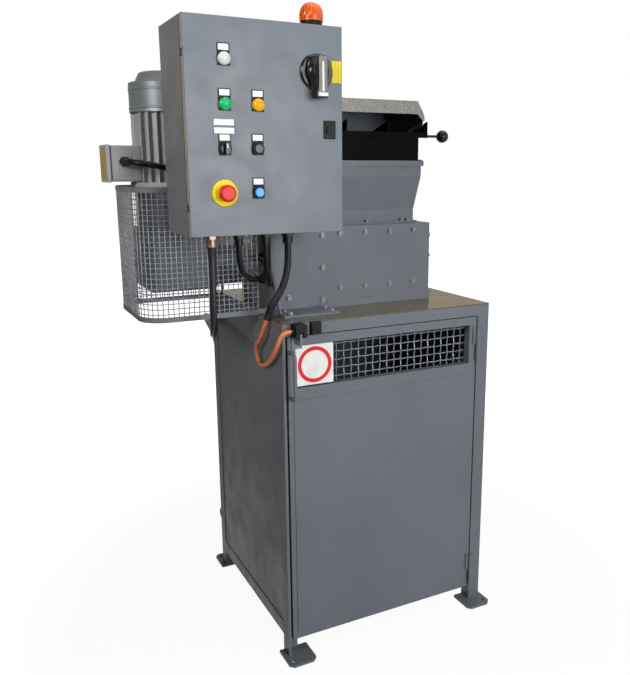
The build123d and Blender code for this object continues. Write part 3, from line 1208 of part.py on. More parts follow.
NODES = {
    "stand_frame": stand_frame,
    "top_plate": top_plate,
    "stand_panels": stand_panels,
    "collection_bin": collection_bin,
    "post_hinges": post_hinges,
    "interlock_switch": interlock_switch,
    "door_frame": door_frame,
    "door_panel": door_panel,
    "door_mesh": door_mesh,
    "door_handle": door_handle,
    "door_hinges": door_hinges,
    "interlock_key": interlock_key,
    "base_frame": base_frame,
    "housing_plates": housing_plates,
    "bearing_plates": bearing_plates,
    "shaft_bearings": shaft_bearings,
    "gear_case": gear_case,
    "combs": combs,
    "unit_screws": unit_screws,
    "cutter_pack_front": lambda: cutter_pack(-SHAFT_Y, True),
    "cutter_pack_rear": lambda: cutter_pack(SHAFT_Y, False),
    "cutter_shaft_front": lambda: cutter_shaft(-SHAFT_Y, GEAR_X - 10),
    "cutter_shaft_rear": coupled_shaft,
    "sync_gear_front": lambda: sync_gear(-SHAFT_Y),
    "sync_gear_rear": lambda: sync_gear(SHAFT_Y),
    "hopper": hopper,
    "feed_box": feed_box,
    "feed_tray": feed_tray,
    "hood": hood,
    "lid_lever": lid_lever,
    "gearbox": gearbox,
    "motor_body": motor_body,
    "fan_cowl": fan_cowl,
    "fan_rotor": fan_rotor,
    "terminal_box": terminal_box,
    "guard_frame": guard_frame,
    "guard_mesh": guard_mesh,
    "cabinet_bracket": cabinet_bracket,
    "cabinet_box": cabinet_box,
    "cabinet_door": cabinet_door,
    "switchgear": switchgear,
    "pilot_lamps": pilot_lamps,
    "legend_plates": legend_plates,
    "button_bezels": button_bezels,
    "black_button": lambda: push_button(*BLACK_BUTTON),
    "blue_button": lambda: push_button(*BLUE_BUTTON),
    "selector_knob": selector_knob,
    "stop_head": stop_head,
    "switch_base": switch_base,
    "switch_handle": switch_handle,
    "cabinet_lock": cabinet_lock,
    "lock_plate": lock_plate,
    "beacon_base": beacon_base,
    "beacon_lens": beacon_lens,
    "cable_glands": cable_glands,
    "supply_cable": supply_cable,
    "supply_coil": supply_coil,
    "supply_plug": supply_plug,
    "control_cables": control_cables,
    "interlock_cable": lambda: cord("screened cable", SCREENED_ROUTE, SCREENED_D),
}


os.makedirs("parts", exist_ok=True)
for node, make in NODES.items():
    made = make()
    pieces = made if isinstance(made, list) else [made]
    solids = [solid for piece in pieces for solid in piece.solids()]
    shape = solids[0] if len(solids) == 1 else Compound(children=solids)
    export_step(shape, f"parts/{node}.step")
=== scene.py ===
"""Dresses the hard drive shredder: paint, zinc sheet, wire mesh, lamps, plates, cables and the stage."""

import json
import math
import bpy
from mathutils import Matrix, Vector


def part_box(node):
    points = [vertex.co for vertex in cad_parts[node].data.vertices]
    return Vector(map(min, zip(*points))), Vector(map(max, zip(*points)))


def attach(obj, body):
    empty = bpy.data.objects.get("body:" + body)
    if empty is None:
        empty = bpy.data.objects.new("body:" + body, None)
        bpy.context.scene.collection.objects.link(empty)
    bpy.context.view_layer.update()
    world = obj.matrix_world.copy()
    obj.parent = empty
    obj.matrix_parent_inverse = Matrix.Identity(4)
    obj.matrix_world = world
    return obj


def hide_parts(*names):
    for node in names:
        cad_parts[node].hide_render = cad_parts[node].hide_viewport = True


bl_info = {
    "name": "Hard drive shredder finish",
    "version": (1, 0, 0),
    "blender": (4, 5, 0),
    "location": "View3D > Sidebar > Shredder",
    "description": "Finishes the packed model of a floor-standing hard drive shredder",
    "category": "Object",
}

import bmesh
import bpy
from mathutils import Euler, Matrix, Vector

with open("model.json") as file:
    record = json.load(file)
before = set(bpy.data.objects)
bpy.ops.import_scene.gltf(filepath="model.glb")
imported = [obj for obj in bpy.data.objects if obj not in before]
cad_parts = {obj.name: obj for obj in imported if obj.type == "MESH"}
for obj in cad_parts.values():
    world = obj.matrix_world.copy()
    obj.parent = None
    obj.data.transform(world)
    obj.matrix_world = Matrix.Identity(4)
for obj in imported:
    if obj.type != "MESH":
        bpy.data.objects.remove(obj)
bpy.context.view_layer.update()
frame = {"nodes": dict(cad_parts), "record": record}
NODES = frame["nodes"]

DOOR_FACE = -0.360
LAMP_PLACES = {"white": (-0.491, 1.649), "green": (-0.492, 1.549), "amber": (-0.410, 1.549)}
SELECTOR = (-0.495, 1.447)
BLACK_BUTTON = (-0.413, 1.448)
BLUE_BUTTON = (-0.414, 1.345)
STOP = (-0.499, 1.344)
MAIN_SWITCH = (-0.256, 1.632)
SUPPLY_POINTS = (
    (-504, -250, 1206), (-504, -250, 1140), (-505, -249, 1080), (-505, -246, 1030), (-499, -223, 986),
    (-488, -180, 958), (-463, -96, 952), (-430, 20, 950), (-405, 130, 946), (-388, 235, 934),
    (-358, 326, 900), (-318, 378, 842), (-296, 398, 750), (-288, 400, 620), (-278, 404, 450),
    (-272, 402, 290), (-262, 404, 165), (-238, 410, 80), (-190, 421, 29), (-120, 436, 12),
    (-50, 441, 9), (24, 443.5, 9),
)
PLUG_LEAD_POINTS = ((-20, 659.5, 27), (-66, 655, 32.5), (-112, 645, 32.5))
COIL_CENTRE = (60.0, 551.5)
COIL_TURNS = ((108.0, 9.0, 1.0), (90.0, 9.0, 1.0), (90.0, 27.0, 1.0), (108.0, 27.0, 0.5))
COIL_STEPS = 20
COIL_BLEND_STEPS = 4
CONTROL_REACH = 0.992
SCREENED_POINTS = (
    (-352, -230, 1000), (-360, -222, 968), (-361, -196, 936), (-358, -160, 918), (-355, -146, 884),
    (-353, -172, 858), (-352, -212, 866), (-354, -250, 886), (-357, -288, 914), (-359, -320, 945),
    (-348, -327, 981), (-323, -327, 981),
)
SCREENED_RADIUS = 0.0062
CONDUIT_POINTS = (
    (-294, -250, 1206), (-294, -250, 1152), (-304, -248, 1102), (-324, -244, 1062), (-344, -238, 1032),
    (-352, -230, 1000),
)

LENS_PROFILE = (
    (0.0, 0.003), (0.0148, 0.003), (0.0148, 0.0088), (0.0140, 0.0112), (0.0122, 0.0128), (0.0112, 0.0126),
    (0.0096, 0.0141), (0.0086, 0.0139), (0.0070, 0.0150), (0.0062, 0.0147), (0.0040, 0.0155), (0.0, 0.0157),
)
COLLAR_PROFILE = (
    (0.0148, 0.0006), (0.0318, 0.0006), (0.0318, 0.0026), (0.0306, 0.0040), (0.0288, 0.0044),
    (0.0180, 0.0060), (0.0165, 0.0084), (0.0152, 0.0086), (0.0148, 0.0080), (0.0148, 0.0006),
)
HUB_PROFILE = (
    (0.0, 0.0086), (0.0300, 0.0086), (0.0314, 0.0100), (0.0312, 0.0150), (0.0290, 0.0210), (0.0240, 0.0262),
    (0.0170, 0.0296), (0.0, 0.0305),
)
# Height over the switch's centre, half width in front and half width behind.
GRIP_SECTIONS = (
    (0.0360, 0.0090, 0.0140), (0.0340, 0.0118, 0.0215), (0.0220, 0.0125, 0.0275), (0.0060, 0.0122, 0.0300),
    (-0.0140, 0.0118, 0.0270), (-0.0320, 0.0122, 0.0200), (-0.0480, 0.0130, 0.0172),
    (-0.0600, 0.0136, 0.0165), (-0.0640, 0.0115, 0.0140),
)
GRIP_DEPTH = 0.0412
GRIP_END_DEPTH = 0.0380
# Shares of the lens's radius and height.
BEACON_PROFILE = (
    (0.0, 0.0), (0.97, 0.0), (1.0, 0.02), (1.0, 0.07), (0.945, 0.09), (0.945, 0.13), (1.0, 0.15), (1.0, 0.20),
    (0.945, 0.22), (0.945, 0.26), (0.995, 0.28), (0.985, 0.40), (0.96, 0.50), (0.915, 0.61), (0.85, 0.71),
    (0.76, 0.80), (0.64, 0.88), (0.48, 0.945), (0.28, 0.985), (0.0, 1.0),
)
LEGEND_HALF_W = 0.0125
LEGEND_RISE = (0.0185, 0.0325)
LABEL_ACROSS = (-0.5200, -0.4710)
LABEL_LEVELS = (1.5075, 1.4885)
LABEL_HALF_H = 0.0070
SWITCH_LINE_DEPTH = (0.0410, 0.0419)
YELLOW_PLATE_ACROSS = (-0.2140, -0.1875)
YELLOW_PLATE_LEVELS = (1.6090, 1.6610)
WINDOW_PLATE_ACROSS = (-0.303, -0.190)
WINDOW_PLATE_LEVELS = (0.822, 0.935)
WINDOW_PLATE_T = 0.0016
RING_INNER_R = 0.0400
RING_OUTER_R = 0.0505
RING_T = 0.0008
HOOD_STRIP_OUTLINE = ((-0.1118, 1.5290), (-0.1118, 1.5425), (0.0200, 1.5035), (0.0200, 1.4976))
COWL_SEGMENTS = 96
COWL_SLOT_STEP = 6
COWL_SLOT_WIDTH = 3
BEACON_FLUTES = 20.0
BEACON_FLUTE_DEPTH = 0.045

CAMERA_PLACE = (-1.066, -2.108, 1.405)
CAMERA_DOWN = 12.44
CAMERA_TURN = -27.87
CAMERA_SHIFT = (-0.0627, -0.0086)
FLOOR_HALF = 14.0
TOP_LAMP_POWER = 19.0

OWN_FINISH = {
    "top_plate": "top_paint", "terminal_box": "terminal_paint", "cable_glands": "gland_black",
    "cabinet_lock": "black_plastic", "unit_screws": "screw_paint", "switch_base": "black_gloss",
    "interlock_key": "screw_paint",
}

# Finish, low and high corner of the box, colour inside it, and its shine of metal where that changes too.
# In order: plate on the terminal box, copper gland, painted shade inside the hood, painted shade on the
# gearbox inside the guard, foot of the beacon's lens, painted highlight on the left edge of the cabinet's
# door, and painted shade in the seam behind it.
RECOLOURED = (
    ("terminal_paint", (-0.72, 0.016, 1.372), (-0.7026, 0.104, 1.456), (0.36, 0.23, 0.035), None),
    ("gland_black", (-0.53, -0.28, 1.16), (-0.48, -0.22, 1.25), (0.33, 0.22, 0.16), 0.9),
    # painted shade: the zinc inside the hood is darkened to blue-grey, as if it lay in shade
    ("galvanised", (-0.158, -0.1085, 1.49), (0.216, 0.30, 1.5945), (0.075, 0.085, 0.110), None),
    # painted shade: the gearbox behind the guard's mesh is darkened, as if the mesh shaded it
    ("motor_paint", (-0.70, -0.20, 0.99), (-0.34, 0.25, 1.352), (0.080, 0.092, 0.114), None),
    ("orange_lens", (-0.26, -0.30, 1.76), (-0.17, -0.20, 1.7785), (0.045, 0.010, 0.003), None),
    # painted highlight: a lighter strip along the left edge flange of the cabinet's door
    ("door_paint", (-0.60, -0.3585, 1.20), (-0.5838, -0.330, 1.80), (0.30, 0.30, 0.27), None),
    # painted shade: a near-black strip in the gap beside the left edge of the cabinet's door
    ("grey_paint", (-0.60, -0.3420, 1.20), (-0.5838, -0.3355, 1.80), (0.02, 0.02, 0.02), None),
)


class FinishSettings(bpy.types.PropertyGroup):
    """Colours and gloss of the machine's finishes."""
    paint: bpy.props.FloatVectorProperty(
        name="Stand paint", description="Blue-grey paint of the stand and cutting unit", subtype="COLOR",
        size=3, default=(0.148, 0.163, 0.190), min=0.0, max=1.0)
    door_paint: bpy.props.FloatVectorProperty(
        name="Cabinet door paint", description="Lighter grey of the cabinet's door", subtype="COLOR",
        size=3, default=(0.156, 0.180, 0.214), min=0.0, max=1.0)
    motor_paint: bpy.props.FloatVectorProperty(
        name="Motor paint", description="Grey of the motor and gearbox", subtype="COLOR",
        size=3, default=(0.330, 0.350, 0.385), min=0.0, max=1.0)
    galvanised: bpy.props.FloatVectorProperty(
        name="Galvanised sheet", description="Zinc grey of the hood", subtype="COLOR",
        size=3, default=(0.20, 0.194, 0.178), min=0.0, max=1.0)
    cable_orange: bpy.props.FloatVectorProperty(
        name="Screened cable", description="Orange of the screened control cable", subtype="COLOR",
        size=3, default=(0.90, 0.27, 0.05), min=0.0, max=1.0)
    paint_roughness: bpy.props.FloatProperty(
        name="Paint roughness", description="Gloss of the paint, 0 is a mirror", default=0.42,
        min=0.0, max=1.0, subtype="FACTOR")


class MeshSettings(bpy.types.PropertyGroup):
    """Sizes of the wire meshes."""
    window_pitch: bpy.props.FloatProperty(
        name="Window pitch", description="Distance between wires in the door's window", default=0.0235,
        min=0.005, max=0.1, unit="LENGTH")
    window_wire: bpy.props.FloatProperty(
        name="Window wire", description="Wire radius in the door's window", default=0.0017,
        min=0.0005, max=0.005, unit="LENGTH")
    guard_pitch: bpy.props.FloatProperty(
        name="Guard pitch", description="Distance between wires of the motor guard", default=0.0138,
        min=0.005, max=0.1, unit="LENGTH")
    guard_wire: bpy.props.FloatProperty(
        name="Guard wire", description="Wire radius of the motor guard", default=0.0013,
        min=0.0005, max=0.005, unit="LENGTH")


class StageSettings(bpy.types.PropertyGroup):
    """Camera and lamps."""
    lens: bpy.props.FloatProperty(
        name="Lens", description="Focal length of the camera in millimetres", default=39.81,
        min=10.0, max=200.0)
    key_power: bpy.props.FloatProperty(
        name="Key lamp", description="Power of the large lamp at the right front", default=68.0, min=0.0,
        max=2000.0, unit="POWER")
    fill_power: bpy.props.FloatProperty(
        name="Fill lamp", description="Power of the weak lamp at the left", default=3.6, min=0.0, max=2000.0,
        unit="POWER")


def material_with_nodes(name):
    """A new material with its Principled shader and node tree."""
    made = bpy.data.materials.new(name)
    made.use_nodes = True
    tree = made.node_tree
    return made, tree, tree.nodes["Principled BSDF"]


def object_coordinates(tree):
    return tree.nodes.new("ShaderNodeTexCoord").outputs["Object"]


def noise(tree, scale, detail=3.0, roughness=0.5):
    node = tree.nodes.new("ShaderNodeTexNoise")
    node.inputs["Scale"].default_value = scale
    node.inputs["Detail"].default_value = detail
    node.inputs["Roughness"].default_value = roughness
    tree.links.new(object_coordinates(tree), node.inputs["Vector"])
    return node.outputs["Fac"]


def mapped(tree, value, low, high, new_low, new_high):
    node = tree.nodes.new("ShaderNodeMapRange")
    for socket, number in zip(("From Min", "From Max", "To Min", "To Max"), (low, high, new_low, new_high)):
        node.inputs[socket].default_value = number
    tree.links.new(value, node.inputs["Value"])
    return node.outputs["Result"]


def mixed(tree, factor, first, second):
    """Colour mix of two colours or sockets."""
    node = tree.nodes.new("ShaderNodeMix")
    node.data_type = "RGBA"
    for socket, value in ((node.inputs[6], first), (node.inputs[7], second)):
        if isinstance(value, bpy.types.NodeSocket):
            tree.links.new(value, socket)
        else:
            socket.default_value = (*value, 1.0)
    if isinstance(factor, bpy.types.NodeSocket):
        tree.links.new(factor, node.inputs[0])
    else:
        node.inputs[0].default_value = factor
    return node.outputs[2]


def bump(tree, shader, height, strength, distance=0.001):
    node = tree.nodes.new("ShaderNodeBump")
    node.inputs["Strength"].default_value = strength
    node.inputs["Distance"].default_value = distance
    tree.links.new(height, node.inputs["Height"])
    tree.links.new(node.outputs["Normal"], shader.inputs["Normal"])


def darker(colour, share):
    return tuple(c * share for c in colour)


def paint(name, colour, roughness, patch=0.12, dust=0.05, shine=0.3):
    """Sprayed machine paint: faint patches, orange peel and a thin film of dust in spots."""
    made, tree, shader = material_with_nodes(name)
    patches = mapped(tree, noise(tree, 3.2, 4.0, 0.55), 0.35, 0.68, 0.0, 1.0)
    base = mixed(tree, patches, darker(colour, 1.0 - patch), darker(colour, 1.0 + patch))
    film = mapped(tree, noise(tree, 26.0, 5.0, 0.65), 0.56, 0.80, 0.0, dust)
    base = mixed(tree, film, base, (0.55, 0.53, 0.49))
    tree.links.new(base, shader.inputs["Base Color"])
    tree.links.new(mapped(tree, noise(tree, 14.0, 3.0), 0.3, 0.7, roughness - 0.06, roughness + 0.09),
                   shader.inputs["Roughness"])
    shader.inputs["Specular IOR Level"].default_value = shine
    bump(tree, shader, noise(tree, 420.0, 2.0), 0.10, 0.0006)
    return made


def within(tree, low, high):
    """1 inside a box in object coordinates, 0 outside."""
    place = tree.nodes.new("ShaderNodeSeparateXYZ")
    tree.links.new(object_coordinates(tree), place.inputs[0])
    inside = None
    for axis in range(3):
        for limit, operation in ((low[axis], "GREATER_THAN"), (high[axis], "LESS_THAN")):
            test = tree.nodes.new("ShaderNodeMath")
            test.operation = operation
            test.inputs[1].default_value = limit
            tree.links.new(place.outputs[axis], test.inputs[0])
            if inside is None:
                inside = test.outputs[0]
                continue
            both = tree.nodes.new("ShaderNodeMath")
            both.operation = "MULTIPLY"
            tree.links.new(inside, both.inputs[0])
            tree.links.new(test.outputs[0], both.inputs[1])
            inside = both.outputs[0]
    return inside


def recolour(made, low, high, colour, metallic=None):
    """Gives the part of a finish inside a box another colour, and its own shine of metal if one is given."""
    tree = made.node_tree
    shader = tree.nodes["Principled BSDF"]
    inside = within(tree, low, high)
    before = shader.inputs["Base Color"].links[0].from_socket
    tree.links.new(mixed(tree, inside, before, colour), shader.inputs["Base Color"])
    if metallic is not None:
        tree.links.new(mapped(tree, inside, 0.0, 1.0, 0.0, metallic), shader.inputs["Metallic"])


def zinc(name, colour):
    """Galvanised sheet with its spangle."""
    made, tree, shader = material_with_nodes(name)
    cells = tree.nodes.new("ShaderNodeTexVoronoi")
    cells.inputs["Scale"].default_value = 240.0
    tree.links.new(object_coordinates(tree), cells.inputs["Vector"])
    grey = tree.nodes.new("ShaderNodeRGBToBW")
    tree.links.new(cells.outputs["Color"], grey.inputs["Color"])
    spangle = mapped(tree, grey.outputs["Val"], 0.1, 0.9, 0.0, 1.0)
    base = mixed(tree, spangle, darker(colour, 0.60), darker(colour, 1.40))
    base = mixed(tree, mapped(tree, noise(tree, 30.0, 5.0), 0.35, 0.75, 0.0, 0.5), base, darker(colour, 0.85))
    tree.links.new(base, shader.inputs["Base Color"])
    shader.inputs["Metallic"].default_value = 0.55
    tree.links.new(mapped(tree, grey.outputs["Val"], 0.0, 1.0, 0.42, 0.62), shader.inputs["Roughness"])
    bump(tree, shader, noise(tree, 260.0, 3.0), 0.08, 0.0005)
    return made


def bare_metal(name, colour, roughness=0.34, stretch=(6.0, 120.0, 120.0)):
    """Turned or ground steel with fine lines along one way."""
    made, tree, shader = material_with_nodes(name)
    mapping = tree.nodes.new("ShaderNodeMapping")
    mapping.inputs["Scale"].default_value = stretch
    tree.links.new(object_coordinates(tree), mapping.inputs["Vector"])
    lines = tree.nodes.new("ShaderNodeTexNoise")
    lines.inputs["Scale"].default_value = 6.0
    lines.inputs["Detail"].default_value = 4.0
    tree.links.new(mapping.outputs["Vector"], lines.inputs["Vector"])
    base = mixed(tree, lines.outputs["Fac"], darker(colour, 0.8), darker(colour, 1.15))
    tree.links.new(base, shader.inputs["Base Color"])
    shader.inputs["Metallic"].default_value = 1.0
    tree.links.new(mapped(tree, lines.outputs["Fac"], 0.3, 0.7, roughness - 0.06, roughness + 0.10),
                   shader.inputs["Roughness"])
    bump(tree, shader, lines.outputs["Fac"], 0.05, 0.0004)
    return made


def moulded(name, colour, roughness=0.3, coat=0.0, grain=0.06, shine=0.25):
    """Moulded plastic with a fine grain."""
    made, tree, shader = material_with_nodes(name)
    shade = mapped(tree, noise(tree, 40.0, 3.0), 0.35, 0.7, 0.0, 1.0)
    base = mixed(tree, shade, darker(colour, 0.92), darker(colour, 1.06))
    tree.links.new(base, shader.inputs["Base Color"])
    tree.links.new(mapped(tree, noise(tree, 90.0, 2.0), 0.3, 0.7, roughness - 0.04, roughness + 0.06),
                   shader.inputs["Roughness"])
    shader.inputs["Specular IOR Level"].default_value = shine
    shader.inputs["Coat Weight"].default_value = coat
    shader.inputs["Coat Roughness"].default_value = 0.12
    bump(tree, shader, noise(tree, 700.0, 2.0), grain, 0.0003)
    return made


def fluted(name, colour, dark):
    """Clear coloured plastic of the beacon, with wavy darker bands."""
    made, tree, shader = material_with_nodes(name)
    wave = tree.nodes.new("ShaderNodeTexWave")
    wave.inputs["Scale"].default_value = 34.0
    wave.inputs["Distortion"].default_value = 3.5
    wave.inputs["Detail"].default_value = 1.0
    wave.inputs["Detail Scale"].default_value = 60.0
    tree.links.new(object_coordinates(tree), wave.inputs["Vector"])
    band = mapped(tree, wave.outputs["Fac"], 0.0, 0.55, 0.75, 0.0)
    tree.links.new(mixed(tree, band, colour, dark), shader.inputs["Base Color"])
    shader.inputs["Roughness"].default_value = 0.16
    shader.inputs["Specular IOR Level"].default_value = 0.12
    bump(tree, shader, wave.outputs["Fac"], 0.3, 0.0006)
    return made


def braid(name, colour):
    """Braided screen under a clear sheath."""
    made, tree, shader = material_with_nodes(name)
    cells = tree.nodes.new("ShaderNodeTexVoronoi")
    cells.inputs["Scale"].default_value = 520.0
    tree.links.new(object_coordinates(tree), cells.inputs["Vector"])
    weave = mapped(tree, cells.outputs["Distance"], 0.05, 0.6, 0.0, 1.0)
    tree.links.new(mixed(tree, weave, darker(colour, 1.3), darker(colour, 0.45)), shader.inputs["Base Color"])
    shader.inputs["Roughness"].default_value = 0.3
    shader.inputs["Coat Weight"].default_value = 0.5
    bump(tree, shader, weave, 0.35, 0.0004)
    return made


def make_finishes():
    look = bpy.context.scene.shredder_finish
    rough = look.paint_roughness
    stand = tuple(look.paint)
    made = {
        "grey_paint": paint("grey_paint", stand, rough, 0.06),
        "top_paint": paint("top_paint", (0.135, 0.112, 0.074), 0.17, 0.08, 0.03, 0.25),
        "door_paint": paint("door_paint", tuple(look.door_paint), rough - 0.06, 0.03, 0.01),
        "motor_paint": paint("motor_paint", tuple(look.motor_paint), rough - 0.04, 0.18, 0.12, 0.5),
        "terminal_paint": paint("terminal_paint", tuple(look.motor_paint), rough - 0.04, 0.18, 0.12, 0.5),
        # partly painted sheen: the wires' grey is the stand's paint made 1.45 times lighter, standing in for
        # the glints on lit wires
        "wire_paint": paint("wire_paint", darker(stand, 1.45), 0.24, 0.1, 0.03, 0.8),
        "screw_paint": paint("screw_paint", darker(stand, 1.12), 0.24, 0.1, 0.03, 0.9),
        "galvanised": zinc("galvanised", tuple(look.galvanised)),
        "steel": bare_metal("steel", (0.55, 0.54, 0.52)),
        "tool_steel": bare_metal("tool_steel", (0.30, 0.31, 0.32), 0.38),
        "dark_steel": paint("dark_steel", darker(stand, 0.62), 0.38, 0.2, 0.03),
        "dark_wire": paint("dark_wire", darker(stand, 0.80), 0.36, 0.15, 0.03),
        "black_sheet": paint("black_sheet", (0.002, 0.002, 0.002), 0.5, 0.2, 0.001, 0.03),
        "black_plastic": moulded("black_plastic", (0.010, 0.010, 0.011), 0.45, 0.0, 0.06, 0.15),
        "black_gloss": moulded("black_gloss", (0.007, 0.007, 0.008), 0.22, 0.15, 0.02, 0.2),
        "silver_plastic": moulded("silver_plastic", (0.36, 0.38, 0.40), 0.3),
        "light_plastic": moulded("light_plastic", (0.48, 0.49, 0.48), 0.45),
        "lamp_lens": moulded("lamp_lens", (0.97, 0.98, 1.0), 0.16, 0.3, 0.02),
        "blue_gloss": moulded("blue_gloss", (0.05, 0.36, 0.88), 0.25, 0.1, 0.02),
        "red_gloss": moulded("red_gloss", (0.72, 0.020, 0.016), 0.28, 0.05, 0.02, 0.15),
        "orange_lens": fluted("orange_lens", (0.72, 0.118, 0.0), (0.22, 0.014, 0.0)),
        "black_rubber": moulded("black_rubber", (0.004, 0.004, 0.005), 0.34, 0.0, 0.05, 0.2),
        "orange_cable": braid("orange_cable", tuple(look.cable_orange)),
        "stop_yellow": moulded("stop_yellow", (0.90, 0.70, 0.008), 0.34, 0.0, 0.03),
        "green_lens": moulded("green_lens", (0.002, 0.52, 0.16), 0.18, 0.3, 0.02, 0.15),
        "amber_lens": moulded("amber_lens", (1.0, 0.47, 0.0), 0.18, 0.3, 0.02, 0.15),
        "plate_white": moulded("plate_white", (0.90, 0.90, 0.89), 0.3, 0.0, 0.01),
        "plate_yellow": moulded("plate_yellow", (0.92, 0.70, 0.006), 0.36, 0.0, 0.01),
        "ring_red": moulded("ring_red", (0.78, 0.025, 0.025), 0.36, 0.0, 0.01),
        "gland_black": moulded("gland_black", (0.010, 0.010, 0.011), 0.36, 0.0, 0.04, 0.3),
    }
    for name, low, high, colour, metallic in RECOLOURED:
        recolour(made[name], low, high, colour, metallic)
    return made


def finish_of(name):
    return bpy.data.materials[name]


def as_object(name, mesh, material_name, body, smooth_angle=35.0):
    """Links a finished mesh as a piece, with its finish and the body that it rides on."""
    for polygon in mesh.polygons:
        polygon.use_smooth = True
    made = bpy.data.objects.new(name, mesh)
    bpy.context.scene.collection.objects.link(made)
    mesh.materials.clear()
    mesh.materials.append(finish_of(material_name))
    mesh.set_sharp_from_angle(angle=math.radians(smooth_angle))
    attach(made, body)
    return made


def mesh_from(bm, name):
    mesh = bpy.data.meshes.new(name)
    bmesh.ops.recalc_face_normals(bm, faces=bm.faces)
    bm.to_mesh(mesh)
    bm.free()
    return mesh


def piece_from(bm, name, material_name, body, smooth_angle=35.0):
    """Closes a bmesh and makes a finished piece of it."""
    return as_object(name, mesh_from(bm, name), material_name, body, smooth_angle)


def rounded_block(bm, low, high, bevel=0.001, segments=2):
    """Adds a block between two corners with rounded edges."""
    low, high = Vector(low), Vector(high)
    made = bmesh.ops.create_cube(bm, size=1.0)
    verts = made["verts"]
    for vert in verts:
        vert.co = Vector([low[i] + (vert.co[i] + 0.5) * (high[i] - low[i]) for i in range(3)])
    edges = list({edge for vert in verts for edge in vert.link_edges})
    if bevel:
        bmesh.ops.bevel(bm, geom=edges, offset=bevel, segments=segments, profile=0.7, affect="EDGES")


def raised_block(bm, across, depths, levels, bevel=0.0003):
    """Adds a thin block in front of the cabinet's door, between two x, two depths and two z."""
    low = (across[0], DOOR_FACE - depths[1], levels[0])
    high = (across[1], DOOR_FACE - depths[0], levels[1])
    rounded_block(bm, low, high, bevel, 1)


def turned(bm, profile, matrix, segments=48):
    """Adds a turned form. The profile is (radius, height) pairs from axis to axis, or a closed loop."""
    rings = []
    for radius, height in profile:
        ring = []
        for k in range(segments if radius > 1e-6 else 1):
            angle = 2 * math.pi * k / segments
            place = Vector((radius * math.cos(angle), radius * math.sin(angle), height))
            ring.append(bm.verts.new(matrix @ place))
        rings.append(ring)
    for lower, upper in zip(rings, rings[1:]):
        if len(lower) == 1 and len(upper) == 1:
            continue
        for k in range(segments):
            after = (k + 1) % segments
            if len(lower) == 1:
                bm.faces.new((lower[0], upper[k], upper[after]))
            elif len(upper) == 1:
                bm.faces.new((lower[k], lower[after], upper[0]))
            else:
                bm.faces.new((lower[k], lower[after], upper[after], upper[k]))
    return rings


def bridged(bm, first, second):
    """Joins two closed rings with as many vertices each by faces."""
    for k in range(len(first)):
        after = (k + 1) % len(first)
        bm.faces.new((first[k], first[after], second[after], second[k]))


def facing_front(x, z, y=DOOR_FACE):
    """Matrix that turns +Z to the front, -Y, at a place on the cabinet's door or at another depth."""
    return Matrix.Translation((x, y, z)) @ Matrix.Rotation(math.radians(90.0), 4, "X")


class NodeTree:
    """Small helper that writes a Geometry Nodes tree with named inputs."""

    def __init__(self, name, sizes):
        self.tree = bpy.data.node_groups.new(name, "GeometryNodeTree")
        face = self.tree.interface
        face.new_socket("Geometry", in_out="INPUT", socket_type="NodeSocketGeometry")
        face.new_socket("Geometry", in_out="OUTPUT", socket_type="NodeSocketGeometry")
        for size, value in sizes.items():
            kind = "NodeSocketInt" if isinstance(value, int) else "NodeSocketFloat"
            face.new_socket(size, in_out="INPUT", socket_type=kind).default_value = value
        face.new_socket("Material", in_out="INPUT", socket_type="NodeSocketMaterial")
        self.source = self.tree.nodes.new("NodeGroupInput")
        self.target = self.tree.nodes.new("NodeGroupOutput")

    def add(self, kind, inputs=None, **settings):
        node = self.tree.nodes.new(kind)
        for key, value in settings.items():
            setattr(node, key, value)
        for key, value in (inputs or {}).items():
            socket = node.inputs[key]
            if isinstance(value, bpy.types.NodeSocket):
                self.tree.links.new(value, socket)
            else:
                socket.default_value = value
        return node

    def size(self, name):
        return self.source.outputs[name]

    def compute(self, kind, first, second=0.0):
        return self.add("ShaderNodeMath", {0: first, 1: second}, operation=kind).outputs[0]

    def tube(self, curve, ring):
        """Tube with closed ends along a curve."""
        return self.add("GeometryNodeCurveToMesh",
                        {"Curve": curve.outputs[0], "Profile Curve": ring.outputs[0], "Fill Caps": True})

    def spread(self, points, piece):
        """Copies of a piece at points, as real geometry."""
        copies = self.add("GeometryNodeInstanceOnPoints",
                          {"Points": points.outputs[0], "Instance": piece.outputs[0]})
        return self.add("GeometryNodeRealizeInstances", {"Geometry": copies.outputs[0]})

    def close(self, geometry):
        """Ends the tree in Realize Instances and Set Material."""
        real = self.add("GeometryNodeRealizeInstances", {"Geometry": geometry})
        shaded = self.add("GeometryNodeSetMaterial",
                          {"Geometry": real.outputs[0], "Material": self.size("Material")})
        self.tree.links.new(shaded.outputs[0], self.target.inputs[0])
        return self.tree


def grown_by(tree, base_mesh, values, material_name, name):
    """Applies a tree to a mesh and returns the plain mesh that comes out."""
    carrier = bpy.data.objects.new(name + "_source", base_mesh)
    bpy.context.scene.collection.objects.link(carrier)
    modifier = carrier.modifiers.new("shape", "NODES")
    modifier.node_group = tree
    values = dict(values, Material=finish_of(material_name))
    for item in tree.interface.items_tree:
        if item.item_type == "SOCKET" and item.in_out == "INPUT" and item.name in values:
            modifier[item.identifier] = values[item.name]
    graph = bpy.context.evaluated_depsgraph_get()
    graph.update()
    mesh = bpy.data.meshes.new_from_object(carrier.evaluated_get(graph))
    mesh.name = name
    carrier.modifiers.clear()
    bpy.data.objects.remove(carrier)
    return mesh


